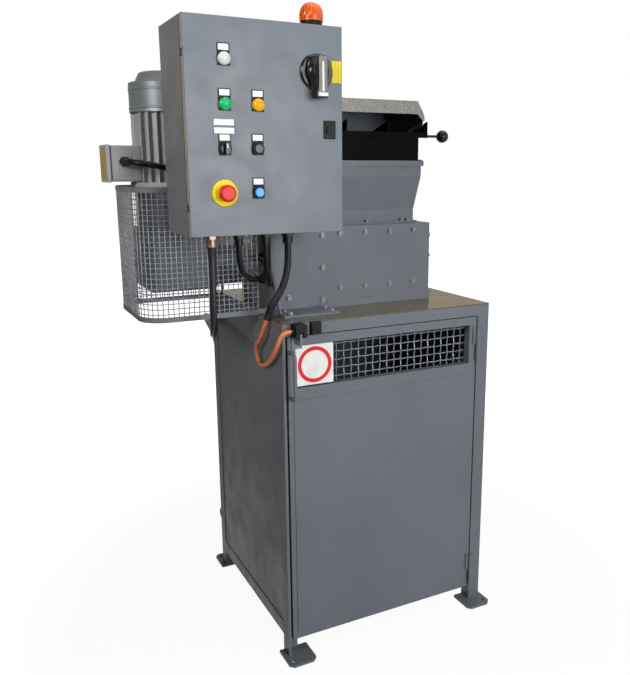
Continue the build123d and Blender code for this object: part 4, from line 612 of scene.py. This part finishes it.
def woven_tree():
    """Crimped wires both ways in the XZ plane, centred at the origin."""
    made = NodeTree("Woven mesh", {"Width": 0.5, "Height": 0.1, "Pitch": 0.0235, "Wire": 0.0016,
                                   "Columns": 10, "Rows": 5})
    pitch, wire = made.size("Pitch"), made.size("Wire")
    joined = made.add("GeometryNodeJoinGeometry")
    for count, long_size, along_x, sign in (("Rows", "Width", True, 1.0), ("Columns", "Height", False, -1.0)):
        half = made.compute("MULTIPLY", made.size(long_size), 0.5)
        back = made.compute("MULTIPLY", half, -1.0)
        start = made.add("ShaderNodeCombineXYZ", {0 if along_x else 2: back})
        end = made.add("ShaderNodeCombineXYZ", {0 if along_x else 2: half})
        line = made.add("GeometryNodeCurvePrimitiveLine", {"Start": start.outputs[0], "End": end.outputs[0]})
        spaces = made.compute("MULTIPLY", made.compute("SUBTRACT", made.size(count), 1.0), 0.5)
        first = made.compute("MULTIPLY", spaces, made.compute("MULTIPLY", pitch, -1.0))
        begin = made.add("ShaderNodeCombineXYZ", {2 if along_x else 0: first})
        step = made.add("ShaderNodeCombineXYZ", {2 if along_x else 0: pitch})
        row = made.add("GeometryNodeMeshLine", {"Count": made.size(count), "Start Location": begin.outputs[0],
                                                "Offset": step.outputs[0]})
        real = made.spread(row, line)
        fine = made.add("GeometryNodeResampleCurve", {"Curve": real.outputs[0]}, mode="LENGTH")
        made.tree.links.new(made.compute("MULTIPLY", pitch, 0.25), fine.inputs["Length"])
        place = made.add("ShaderNodeSeparateXYZ", {0: made.add("GeometryNodeInputPosition").outputs[0]})
        waves = []
        for axis, number in ((0, "Columns"), (2, "Rows")):
            offset = made.compute("MULTIPLY", made.compute("SUBTRACT", made.size(number), 1.0), 0.5)
            turns = made.compute("ADD", made.compute("DIVIDE", place.outputs[axis], pitch), offset)
            waves.append(made.compute("COSINE", made.compute("MULTIPLY", turns, math.pi)))
        crossing = made.compute("MULTIPLY", waves[0], waves[1])
        depth = made.compute("MULTIPLY", crossing, made.compute("MULTIPLY", wire, sign * 0.95))
        shift = made.add("ShaderNodeCombineXYZ", {1: depth})
        moved = made.add("GeometryNodeSetPosition", {"Geometry": fine.outputs[0], "Offset": shift.outputs[0]})
        ring = made.add("GeometryNodeCurvePrimitiveCircle", {"Resolution": 7, "Radius": wire})
        made.tree.links.new(made.tube(moved, ring).outputs[0], joined.inputs[0])
    return made.close(joined.outputs[0])


def wrapped_tree():
    """Welded wires along a path at even heights, and upright wires at even steps of the path."""
    made = NodeTree("Wrapped mesh", {"Height": 0.3, "Pitch": 0.0165, "Wire": 0.0014, "Rows": 20})
    pitch, wire = made.size("Pitch"), made.size("Wire")
    path = made.add("GeometryNodeMeshToCurve", {"Mesh": made.source.outputs["Geometry"]})
    ring = made.add("GeometryNodeCurvePrimitiveCircle", {"Resolution": 6, "Radius": wire})
    step = made.add("ShaderNodeCombineXYZ", {2: pitch})
    heights = made.add("GeometryNodeMeshLine", {"Count": made.size("Rows"), "Offset": step.outputs[0]})
    flat = made.tube(made.spread(heights, path), ring)
    points = made.add("GeometryNodeResampleCurve", {"Curve": path.outputs[0]}, mode="LENGTH")
    made.tree.links.new(pitch, points.inputs["Length"])
    top = made.add("ShaderNodeCombineXYZ", {2: made.size("Height")})
    line = made.add("GeometryNodeCurvePrimitiveLine", {"End": top.outputs[0]})
    upright = made.tube(made.spread(points, line), ring)
    joined = made.add("GeometryNodeJoinGeometry")
    made.tree.links.new(flat.outputs[0], joined.inputs[0])
    made.tree.links.new(upright.outputs[0], joined.inputs[0])
    return made.close(joined.outputs[0])


def ribbed_tree():
    """Rounded rings at even steps along a path, as on a corrugated conduit."""
    made = NodeTree("Corrugated hose", {"Pitch": 0.0036, "Radius": 0.0086, "Rib": 0.0011})
    path = made.add("GeometryNodeMeshToCurve", {"Mesh": made.source.outputs["Geometry"]})
    points = made.add("GeometryNodeResampleCurve", {"Curve": path.outputs[0]}, mode="LENGTH")
    made.tree.links.new(made.size("Pitch"), points.inputs["Length"])
    tangent = made.add("GeometryNodeInputTangent")
    turn = made.add("FunctionNodeAlignRotationToVector", {"Vector": tangent.outputs[0]}, axis="Z")
    ring = made.add("GeometryNodeCurvePrimitiveCircle", {"Resolution": 20, "Radius": made.size("Radius")})
    wire = made.add("GeometryNodeCurvePrimitiveCircle", {"Resolution": 6, "Radius": made.size("Rib")})
    rib = made.add("GeometryNodeCurveToMesh", {"Curve": ring.outputs[0], "Profile Curve": wire.outputs[0]})
    ribs = made.add("GeometryNodeInstanceOnPoints", {"Points": points.outputs[0], "Instance": rib.outputs[0],
                                                     "Rotation": turn.outputs[0]})
    return made.close(ribs.outputs[0])


def path_mesh(name, points):
    """Mesh of edges only along points."""
    mesh = bpy.data.meshes.new(name)
    mesh.from_pydata([tuple(p) for p in points], [(k, k + 1) for k in range(len(points) - 1)], [])
    return mesh


def arc(centre, radius, start, end, steps=10):
    """Points of a level arc, angles in degrees."""
    made = []
    for k in range(steps + 1):
        angle = math.radians(start + (end - start) * k / steps)
        x, y = centre[0] + radius * math.cos(angle), centre[1] + radius * math.sin(angle)
        made.append(Vector((x, y, centre[2])))
    return made


def metres(points):
    return [tuple(value / 1000.0 for value in point) for point in points]


def smooth_cord(name, points, diameter, material_name):
    """Curve of one open spline with the points as its control points."""
    data = bpy.data.curves.new(name, "CURVE")
    data.dimensions = "3D"
    data.bevel_depth = diameter / 2.0
    data.bevel_resolution = 4
    data.resolution_u = 6
    data.use_fill_caps = True
    spline = data.splines.new("NURBS")
    spline.points.add(len(points) - 1)
    for target, place in zip(spline.points, points):
        target.co = (*place, 1.0)
    spline.order_u = 3
    spline.use_endpoint_u = True
    data.materials.append(finish_of(material_name))
    made = bpy.data.objects.new(name, data)
    bpy.context.scene.collection.objects.link(made)
    return made


def centreline(points):
    """Points along the smooth line of a route, read from its spline."""
    line = smooth_cord("route_reading", points, 0.0, "black_rubber")
    graph = bpy.context.evaluated_depsgraph_get()
    graph.update()
    mesh = bpy.data.meshes.new_from_object(line.evaluated_get(graph))
    places = [vert.co.copy() for vert in mesh.vertices]
    bpy.data.objects.remove(line)
    return places


def coil_points():
    """Control points of the stored turns, in millimetres; the cord's line runs just inside them."""
    made = []
    angle = -90.0
    for index, (radius, height, turns) in enumerate(COIL_TURNS):
        after = COIL_TURNS[min(index + 1, len(COIL_TURNS) - 1)]
        count = int(COIL_STEPS * turns)
        for k in range(1, count + 1):
            blend = max(0.0, (k - (count - COIL_BLEND_STEPS)) / COIL_BLEND_STEPS)
            reach = (radius + (after[0] - radius) * blend) / CONTROL_REACH
            level = height + (after[1] - height) * blend
            turn = math.radians(angle + 360.0 * k / COIL_STEPS)
            x, y = COIL_CENTRE[0] + reach * math.cos(turn), COIL_CENTRE[1] + reach * math.sin(turn)
            made.append((x, y, level))
        angle += 360.0 * turns
    return made


def spline_length(points):
    places = centreline(points)
    return sum((b - a).length for a, b in zip(places, places[1:]))


class SHREDDER_OT_finishes(bpy.types.Operator):
    """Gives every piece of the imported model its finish"""
    bl_idname = "shredder.finishes"
    bl_label = "Finishes"

    def execute(self, context):
        finishes = make_finishes()
        slots = {entry["node"]: entry["material_slot"] for entry in frame["record"]["subparts"]}
        for name, piece in NODES.items():
            piece.data.materials.clear()
            piece.data.materials.append(finishes[OWN_FINISH.get(name, slots[name])])
        return {"FINISHED"}


class SHREDDER_OT_window_mesh(bpy.types.Operator):
    """Weaves the crimped wires of the door's window"""
    bl_idname = "shredder.window_mesh"
    bl_label = "Window mesh"

    def execute(self, context):
        sizes = context.scene.shredder_mesh
        low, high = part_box("door_mesh")
        low, high = Vector(low), Vector(high)
        width, height = high.x - low.x - 0.004, high.z - low.z - 0.004
        values = {"Width": width, "Height": height, "Pitch": sizes.window_pitch, "Wire": sizes.window_wire,
                  "Columns": int(width / sizes.window_pitch), "Rows": int(height / sizes.window_pitch)}
        source = bpy.data.meshes.new("empty_source")
        mesh = grown_by(woven_tree(), source, values, "wire_paint", "window_wires")
        mesh.transform(Matrix.Translation(((low.x + high.x) / 2, low.y + 0.0025, (low.z + high.z) / 2)))
        wires = as_object("window_wires", mesh, "wire_paint", "stand_door")
        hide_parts("door_mesh")
        return {"FINISHED"}


class SHREDDER_OT_guard_mesh(bpy.types.Operator):
    """Wraps the wires of the motor guard round its corners"""
    bl_idname = "shredder.guard_mesh"
    bl_label = "Guard mesh"

    def execute(self, context):
        sizes = context.scene.shredder_mesh
        low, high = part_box("guard_frame")
        mesh_low, mesh_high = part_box("guard_mesh")
        radius = 0.068
        x0, y0, y1 = low[0] + 0.002, low[1] + 0.002, high[1] - 0.002
        z0 = mesh_low[2] - 0.006
        path = [Vector((mesh_high[0], y0, z0))]
        path += arc((x0 + radius, y0 + radius, z0), radius, 270.0, 180.0)
        path += arc((x0 + radius, y1 - radius, z0), radius, 180.0, 90.0)
        path += [Vector((mesh_high[0], y1, z0))]
        height = mesh_high[2] - mesh_low[2] + 0.012
        values = {"Height": height, "Pitch": sizes.guard_pitch, "Wire": sizes.guard_wire,
                  "Rows": int(height / sizes.guard_pitch)}
        mesh = grown_by(wrapped_tree(), path_mesh("guard_path", path), values, "wire_paint", "guard_wires")
        wires = as_object("guard_wires", mesh, "wire_paint", "stand")
        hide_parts("guard_mesh")
        return {"FINISHED"}


class SHREDDER_OT_controls(bpy.types.Operator):
    """Lenses, legend strips, the stop's yellow collar, marks and plates on the cabinet's door"""
    bl_idname = "shredder.controls"
    bl_label = "Cabinet controls"

    def execute(self, context):
        looks = ("lamp_lens", "green_lens", "amber_lens")
        for (name, (x, z)), look in zip(LAMP_PLACES.items(), looks):
            bm = bmesh.new()
            turned(bm, LENS_PROFILE, facing_front(x, z))
            piece_from(bm, f"lens_{name}", look, "control_door")
        bm = bmesh.new()
        for x, z in list(LAMP_PLACES.values()) + [SELECTOR, BLACK_BUTTON, BLUE_BUTTON]:
            raised_block(bm, (x - LEGEND_HALF_W, x + LEGEND_HALF_W), (0.0012, 0.0021),
                         (z + LEGEND_RISE[0], z + LEGEND_RISE[1]))
        for z in LABEL_LEVELS:
            raised_block(bm, LABEL_ACROSS, (0.0008, 0.0016), (z - LABEL_HALF_H, z + LABEL_HALF_H))
        piece_from(bm, "legend_strips", "plate_white", "control_door")
        bm = bmesh.new()
        turned(bm, COLLAR_PROFILE, facing_front(*STOP), 64)
        piece_from(bm, "stop_collar", "stop_yellow", "control_door")
        x, z = SELECTOR
        bm = bmesh.new()
        raised_block(bm, (x - 0.0010, x + 0.0010), (0.0218, 0.0225), (z + 0.0010, z + 0.0115), 0.0002)
        piece_from(bm, "selector_mark", "plate_white", "selector")
        x, z = MAIN_SWITCH
        bm = bmesh.new()
        raised_block(bm, (x - 0.0026, x + 0.0026), SWITCH_LINE_DEPTH, (z - 0.0480, z + 0.0200))
        raised_block(bm, (x - 0.0125, x + 0.0125), SWITCH_LINE_DEPTH, (z - 0.0590, z - 0.0510))
        piece_from(bm, "switch_line", "plate_white", "main_handle")
        bm = bmesh.new()
        raised_block(bm, YELLOW_PLATE_ACROSS, (0.0, 0.0012), YELLOW_PLATE_LEVELS, 0.0004)
        piece_from(bm, "door_plate", "plate_yellow", "control_door")
        return {"FINISHED"}


class SHREDDER_OT_switch_handle(bpy.types.Operator):
    """Moulded grip of the main switch, wide at its hub and flat in front"""
    bl_idname = "shredder.switch_handle"
    bl_label = "Main switch grip"

    def execute(self, context):
        x, z = MAIN_SWITCH
        bm = bmesh.new()
        turned(bm, HUB_PROFILE, facing_front(x, z), 64)
        rings = []
        for index, (rise, front, back) in enumerate(GRIP_SECTIONS):
            reach = GRIP_END_DEPTH if index in (0, len(GRIP_SECTIONS) - 1) else GRIP_DEPTH
            waist = front + (back - front) * 0.30
            outline = [(back, 0.0120), (back, 0.0150), (waist, 0.0270), (front + 0.0010, reach - 0.0030),
                       (front - 0.0015, reach)]
            outline = [(-side, depth) for side, depth in outline] + outline[::-1]
            rings.append([bm.verts.new((x + side, DOOR_FACE - depth, z + rise)) for side, depth in outline])
        for upper, lower in zip(rings, rings[1:]):
            bridged(bm, upper, lower)
        bm.faces.new(rings[0])
        bm.faces.new(rings[-1])
        grip = piece_from(bm, "switch_grip", "black_gloss", "main_handle", 28.0)
        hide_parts("switch_handle")
        return {"FINISHED"}


class SHREDDER_OT_hood_sides(bpy.types.Operator):
    """Side strips of the hood that close the gap above the tray's cheeks"""
    bl_idname = "shredder.hood_sides"
    bl_label = "Hood side strips"

    def execute(self, context):
        low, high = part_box("hood")
        bm = bmesh.new()
        for x0, x1 in ((low[0] + 0.0002, low[0] + 0.0018), (high[0] - 0.0018, high[0] - 0.0002)):
            near = [bm.verts.new((x0, y, z)) for y, z in HOOD_STRIP_OUTLINE]
            far = [bm.verts.new((x1, y, z)) for y, z in HOOD_STRIP_OUTLINE]
            bm.faces.new(near)
            bm.faces.new(far)
            bridged(bm, near, far)
        piece_from(bm, "hood_side_strips", "galvanised", "feed_lid")
        return {"FINISHED"}


class SHREDDER_OT_fan_cowl(bpy.types.Operator):
    """Fan cowl with rolled beads, a stepped crown and a ring of air slots"""
    bl_idname = "shredder.fan_cowl"
    bl_label = "Fan cowl"

    def execute(self, context):
        low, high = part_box("fan_cowl")
        centre = Matrix.Translation(((low[0] + high[0]) / 2, (low[1] + high[1]) / 2, 0.0))
        radius = (high[0] - low[0]) / 2
        z0, z1 = low[2], high[2]
        outer = [(radius - 0.0014, z0), (radius, z0 + 0.001)]
        for level in (z1 - 0.0960, z1 - 0.0470):
            outer += [(radius - 0.0014, level - 0.003), (radius, level - 0.0012), (radius, level + 0.0012),
                      (radius - 0.0014, level + 0.003)]
        outer += [(radius - 0.0014, z1 - 0.0310), (radius - 0.0034, z1 - 0.0284),
                  (radius - 0.0080, z1 - 0.0274), (radius - 0.0170, z1 - 0.0268),
                  (radius - 0.0192, z1 - 0.0256), (radius - 0.0204, z1 - 0.0225),
                  (radius - 0.0280, z1 - 0.0060), (radius - 0.0310, z1 - 0.0018), (radius - 0.0360, z1),
                  (0.0640, z1), (0.0240, z1), (0.0, z1)]
        inner = [(0.0, z1 - 0.0025), (0.0240, z1 - 0.0025), (0.0640, z1 - 0.0025),
                 (radius - 0.0370, z1 - 0.0025),
                 (radius - 0.0230, z1 - 0.0250), (radius - 0.0040, z1 - 0.0310), (radius - 0.0040, z0)]
        bm = bmesh.new()
        rings = turned(bm, outer + inner + [outer[0]], centre, COWL_SEGMENTS)
        bm.verts.ensure_lookup_table()
        slots = [k for k in range(COWL_SEGMENTS) if k % COWL_SLOT_STEP < COWL_SLOT_WIDTH]
        first = len(outer) - 3
        second = len(outer) + 1
        for k in slots:
            after = (k + 1) % COWL_SEGMENTS
            for index in (first, second):
                ring, following = rings[index], rings[index + 1]
                bm.faces.remove(bm.faces.get((ring[k], ring[after], following[after], following[k])))
            corners = ((rings[first], rings[second + 1]), (rings[first + 1], rings[second]))
            for top, under in corners:
                bm.faces.new((top[k], top[after], under[after], under[k]))
            for side, beside in ((k, k - 1), (after, after)):
                if beside % COWL_SEGMENTS not in slots:
                    edge = (first, first + 1, second, second + 1)
                    bm.faces.new([rings[index][side] for index in edge])
        bmesh.ops.remove_doubles(bm, verts=bm.verts, dist=0.00001)
        cowl = piece_from(bm, "cowl_cover", "motor_paint", "stand")
        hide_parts("fan_cowl")
        return {"FINISHED"}


class SHREDDER_OT_terminal_box(bpy.types.Operator):
    """Cast terminal box with rounded edges, its lid and a coloured seal"""
    bl_idname = "shredder.terminal_box"
    bl_label = "Terminal box"

    def execute(self, context):
        low, high = (Vector(corner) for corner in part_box("terminal_box"))
        bm = bmesh.new()
        rounded_block(bm, (low.x + 0.0125, low.y + 0.002, low.z + 0.002),
                      (high.x, high.y - 0.002, high.z - 0.002), 0.008, 4)
        rounded_block(bm, low, (low.x + 0.0108, high.y, high.z), 0.0042, 3)
        rounded_block(bm, (low.x + 0.030, low.y + 0.0008, low.z + 0.018),
                      (low.x + 0.066, low.y + 0.003, high.z - 0.018), 0.0008, 2)
        piece_from(bm, "terminal_cover", "terminal_paint", "stand")
        bm = bmesh.new()
        rounded_block(bm, (low.x + 0.0098, low.y + 0.0026, low.z + 0.0026),
                      (low.x + 0.0135, high.y - 0.0026, high.z - 0.0026), 0.001, 2)
        piece_from(bm, "terminal_seal", "black_rubber", "stand")
        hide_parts("terminal_box")
        return {"FINISHED"}


class SHREDDER_OT_window_plate(bpy.types.Operator):
    """White plate with a red ring, screwed over the left end of the door's window"""
    bl_idname = "shredder.window_plate"
    bl_label = "Window plate"

    def execute(self, context):
        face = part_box("door_frame")[0][1]
        (x0, x1), (z0, z1) = WINDOW_PLATE_ACROSS, WINDOW_PLATE_LEVELS
        bm = bmesh.new()
        rounded_block(bm, (x0, face - WINDOW_PLATE_T, z0), (x1, face, z1), 0.0004, 1)
        piece_from(bm, "window_plate", "plate_white", "stand_door")
        bm = bmesh.new()
        profile = [(RING_INNER_R, 0.0), (RING_OUTER_R, 0.0), (RING_OUTER_R, RING_T), (RING_INNER_R, RING_T),
                   (RING_INNER_R, 0.0)]
        turned(bm, profile, facing_front((x0 + x1) / 2, (z0 + z1) / 2, face - 0.0014), 72)
        piece_from(bm, "plate_ring", "ring_red", "stand_door")
        return {"FINISHED"}


class SHREDDER_OT_beacon(bpy.types.Operator):
    """Fluted lens of the beacon"""
    bl_idname = "shredder.beacon"
    bl_label = "Beacon"

    def execute(self, context):
        low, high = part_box("beacon_lens")
        centre = Vector(((low[0] + high[0]) / 2, (low[1] + high[1]) / 2, low[2]))
        height = high[2] - low[2]
        radius = (high[0] - low[0]) / 2
        bm = bmesh.new()
        profile = [(radius * share, height * level) for share, level in BEACON_PROFILE]
        turned(bm, profile, Matrix.Translation(centre), 120)
        for vert in bm.verts:
            reach = vert.co - centre
            level = reach.z / height
            if 0.27 < level < 0.99:
                flute = 0.5 + 0.5 * math.cos(BEACON_FLUTES * math.atan2(reach.y, reach.x))
                vert.co.x = centre.x + reach.x * (1.0 - BEACON_FLUTE_DEPTH * flute)
                vert.co.y = centre.y + reach.y * (1.0 - BEACON_FLUTE_DEPTH * flute)
        lens = piece_from(bm, "beacon_cover", "orange_lens", "stand", 20.0)
        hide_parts("beacon_lens")
        return {"FINISHED"}


class SHREDDER_OT_cables(bpy.types.Operator):
    """Supply cable with its stored coil and relief, the screened cable and the ribs of the conduit"""
    bl_idname = "shredder.cables"
    bl_label = "Cables"

    def execute(self, context):
        points = metres(list(SUPPLY_POINTS) + coil_points() + list(PLUG_LEAD_POINTS))
        length = spline_length(points)
        cable = smooth_cord("supply_lead", points, 0.018, "black_rubber")
        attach(cable, "stand")
        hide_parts("supply_cable", "supply_coil")
        x, y, top = points[0]
        bm = bmesh.new()
        profile = [(0.0094, top - 0.034), (0.0104, top - 0.034), (0.0112, top - 0.022), (0.0104, top - 0.021),
                   (0.0117, top - 0.010), (0.0109, top - 0.009), (0.0124, top - 0.0003),
                   (0.0094, top - 0.0003), (0.0094, top - 0.034)]
        turned(bm, profile, Matrix.Translation((x, y, 0.0)), 40)
        bmesh.ops.remove_doubles(bm, verts=bm.verts, dist=0.00001)
        piece_from(bm, "supply_relief", "black_rubber", "stand")
        sheath = smooth_cord("screened_line", metres(SCREENED_POINTS), 2.0 * SCREENED_RADIUS, "orange_cable")
        graph = context.evaluated_depsgraph_get()
        graph.update()
        mesh = bpy.data.meshes.new_from_object(sheath.evaluated_get(graph))
        bpy.data.objects.remove(sheath)
        screened = as_object("screened_cable", mesh, "orange_cable", "stand", 60.0)
        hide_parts("interlock_cable")
        line = centreline(metres(CONDUIT_POINTS))
        mesh = grown_by(ribbed_tree(), path_mesh("conduit_path", line), {}, "black_rubber", "conduit_ribs")
        as_object("conduit_ribs", mesh, "black_rubber", "stand", 60.0)
        return {"FINISHED"}


def lamp(name, place, target, size, power, colour=(1.0, 1.0, 1.0)):
    """Square area lamp aimed at a point."""
    data = bpy.data.lights.new(name, "AREA")
    data.size = size
    data.energy = power
    data.color = colour
    made = bpy.data.objects.new(name, data)
    made.location = place
    made.rotation_euler = (Vector(target) - Vector(place)).to_track_quat("-Z", "Y").to_euler()
    bpy.context.scene.collection.objects.link(made)
    return made


def seen_white(tree, share_seen, mirror_share):
    """White that a ray sees: camera rays see the first share, mirrors the second, other rays none."""
    path = tree.nodes.new("ShaderNodeLightPath")
    parts = []
    for ray, share in (("Is Camera Ray", share_seen), ("Is Glossy Ray", mirror_share)):
        part = tree.nodes.new("ShaderNodeMath")
        part.operation = "MULTIPLY"
        tree.links.new(path.outputs[ray], part.inputs[0])
        tree.links.new(share, part.inputs[1])
        parts.append(part.outputs[0])
    total = tree.nodes.new("ShaderNodeMath")
    total.operation = "ADD"
    tree.links.new(parts[0], total.inputs[0])
    tree.links.new(parts[1], total.inputs[1])
    return total.outputs[0]


class SHREDDER_OT_stage(bpy.types.Operator):
    """White floor, soft lamps and the camera"""
    bl_idname = "shredder.stage"
    bl_label = "Stage"

    def execute(self, context):
        scene = context.scene
        sizes = scene.shredder_stage
        scene.view_settings.view_transform = "Standard"
        camera_data = bpy.data.cameras.new("camera")
        camera_data.lens = sizes.lens
        camera_data.sensor_width = 36.0
        camera_data.shift_x, camera_data.shift_y = CAMERA_SHIFT
        camera = bpy.data.objects.new("camera", camera_data)
        camera.location = CAMERA_PLACE
        camera.rotation_euler = Euler((math.radians(90.0 - CAMERA_DOWN), 0.0, math.radians(CAMERA_TURN)))
        scene.collection.objects.link(camera)
        scene.camera = camera

        floor_mesh = bpy.data.meshes.new("floor")
        corners = [(-FLOOR_HALF, -FLOOR_HALF, 0), (FLOOR_HALF, -FLOOR_HALF, 0), (FLOOR_HALF, FLOOR_HALF, 0),
                   (-FLOOR_HALF, FLOOR_HALF, 0)]
        floor_mesh.from_pydata(corners, [], [(0, 1, 2, 3)])
        floor = bpy.data.objects.new("floor", floor_mesh)
        scene.collection.objects.link(floor)
        made, tree, shader = material_with_nodes("floor_white")
        shader.inputs["Base Color"].default_value = (0.36, 0.36, 0.36, 1.0)
        shader.inputs["Roughness"].default_value = 0.9
        glow = tree.nodes.new("ShaderNodeEmission")
        glow.inputs["Strength"].default_value = 1.18
        away = tree.nodes.new("ShaderNodeVectorMath")
        away.operation = "LENGTH"
        tree.links.new(object_coordinates(tree), away.inputs[0])
        place = tree.nodes.new("ShaderNodeSeparateXYZ")
        tree.links.new(object_coordinates(tree), place.inputs[0])
        seen = mapped(tree, away.outputs["Value"], 0.9, 2.2, 0.80, 1.0)
        mirrored = mapped(tree, place.outputs["X"], -1.0, -0.3, 0.06, 0.8)
        mix = tree.nodes.new("ShaderNodeMixShader")
        tree.links.new(seen_white(tree, seen, mirrored), mix.inputs[0])
        tree.links.new(shader.outputs[0], mix.inputs[1])
        tree.links.new(glow.outputs[0], mix.inputs[2])
        tree.links.new(mix.outputs[0], tree.nodes["Material Output"].inputs["Surface"])
        floor_mesh.materials.append(made)

        world = bpy.data.worlds.new("studio")
        world.use_nodes = True
        scene.world = world
        tree = world.node_tree
        background = tree.nodes["Background"]
        way = tree.nodes.new("ShaderNodeSeparateXYZ")
        tree.links.new(tree.nodes.new("ShaderNodeTexCoord").outputs["Generated"], way.inputs[0])
        behind = mapped(tree, way.outputs["Y"], 0.1, 0.7, 0.0, 1.0)
        walls = mixed(tree, behind, (1.0, 1.0, 1.0), (0.62, 0.55, 0.43))
        walls = mixed(tree, mapped(tree, way.outputs["X"], 0.0, -0.6, 0.0, 1.0), walls, (0.20, 0.17, 0.11))
        path = tree.nodes.new("ShaderNodeLightPath")
        shown = mixed(tree, path.outputs["Is Camera Ray"], walls, (1.0, 1.0, 1.0))
        tree.links.new(shown, background.inputs["Color"])
        full = tree.nodes.new("ShaderNodeValue")
        full.outputs[0].default_value = 1.0
        strength = mapped(tree, seen_white(tree, full.outputs[0], full.outputs[0]), 0.0, 1.0, 0.25, 1.0)
        tree.links.new(strength, background.inputs["Strength"])

        lamp("key_lamp", (0.45, -3.4, 1.6), (-0.2, 0.0, 0.8), 1.5, sizes.key_power)
        fill = lamp("fill_lamp", (-2.8, -1.4, 2.3), (-0.6, -0.1, 1.5), 1.0, sizes.fill_power,
                    (1.0, 0.97, 0.90))
        fill.data.spread = math.radians(42.0)
        lamp("top_lamp", (0.2, -0.4, 3.6), (0.0, 0.0, 1.0), 1.6, TOP_LAMP_POWER, (1.0, 0.97, 0.92))
        return {"FINISHED"}


class SHREDDER_PT_panel(bpy.types.Panel):
    """Lists the steps and the settings"""
    bl_idname = "SHREDDER_PT_panel"
    bl_label = "Hard drive shredder"
    bl_space_type = "VIEW_3D"
    bl_region_type = "UI"
    bl_category = "Shredder"

    def draw(self, context):
        layout = self.layout
        scene = context.scene
        for settings in (scene.shredder_finish, scene.shredder_mesh, scene.shredder_stage):
            for name in settings.__annotations__:
                layout.prop(settings, name)
        for operator in OPERATORS:
            layout.operator(operator.bl_idname)


OPERATORS = (
    SHREDDER_OT_finishes,
    SHREDDER_OT_stage,
    SHREDDER_OT_cables,
    SHREDDER_OT_window_mesh,
    SHREDDER_OT_guard_mesh,
    SHREDDER_OT_controls,
    SHREDDER_OT_switch_handle,
    SHREDDER_OT_hood_sides,
    SHREDDER_OT_fan_cowl,
    SHREDDER_OT_terminal_box,
    SHREDDER_OT_window_plate,
    SHREDDER_OT_beacon,
)
SETTINGS = (
    ("shredder_finish", FinishSettings),
    ("shredder_mesh", MeshSettings),
    ("shredder_stage", StageSettings),
)


def register():
    for name, group in SETTINGS:
        bpy.utils.register_class(group)
        setattr(bpy.types.Scene, name, bpy.props.PointerProperty(type=group))
    for operator in OPERATORS:
        bpy.utils.register_class(operator)
    bpy.utils.register_class(SHREDDER_PT_panel)


def unregister():
    bpy.utils.unregister_class(SHREDDER_PT_panel)
    for operator in reversed(OPERATORS):
        bpy.utils.unregister_class(operator)
    for name, group in reversed(SETTINGS):
        delattr(bpy.types.Scene, name)
        bpy.utils.unregister_class(group)


def main():
    register()
    bpy.ops.shredder.finishes()
    bpy.ops.shredder.stage()
    bpy.ops.shredder.cables()
    bpy.ops.shredder.window_mesh()
    bpy.ops.shredder.guard_mesh()
    bpy.ops.shredder.controls()
    bpy.ops.shredder.switch_handle()
    bpy.ops.shredder.hood_sides()
    bpy.ops.shredder.fan_cowl()
    bpy.ops.shredder.terminal_box()
    bpy.ops.shredder.window_plate()
    bpy.ops.shredder.beacon()


if __name__ == "__main__":
    main()
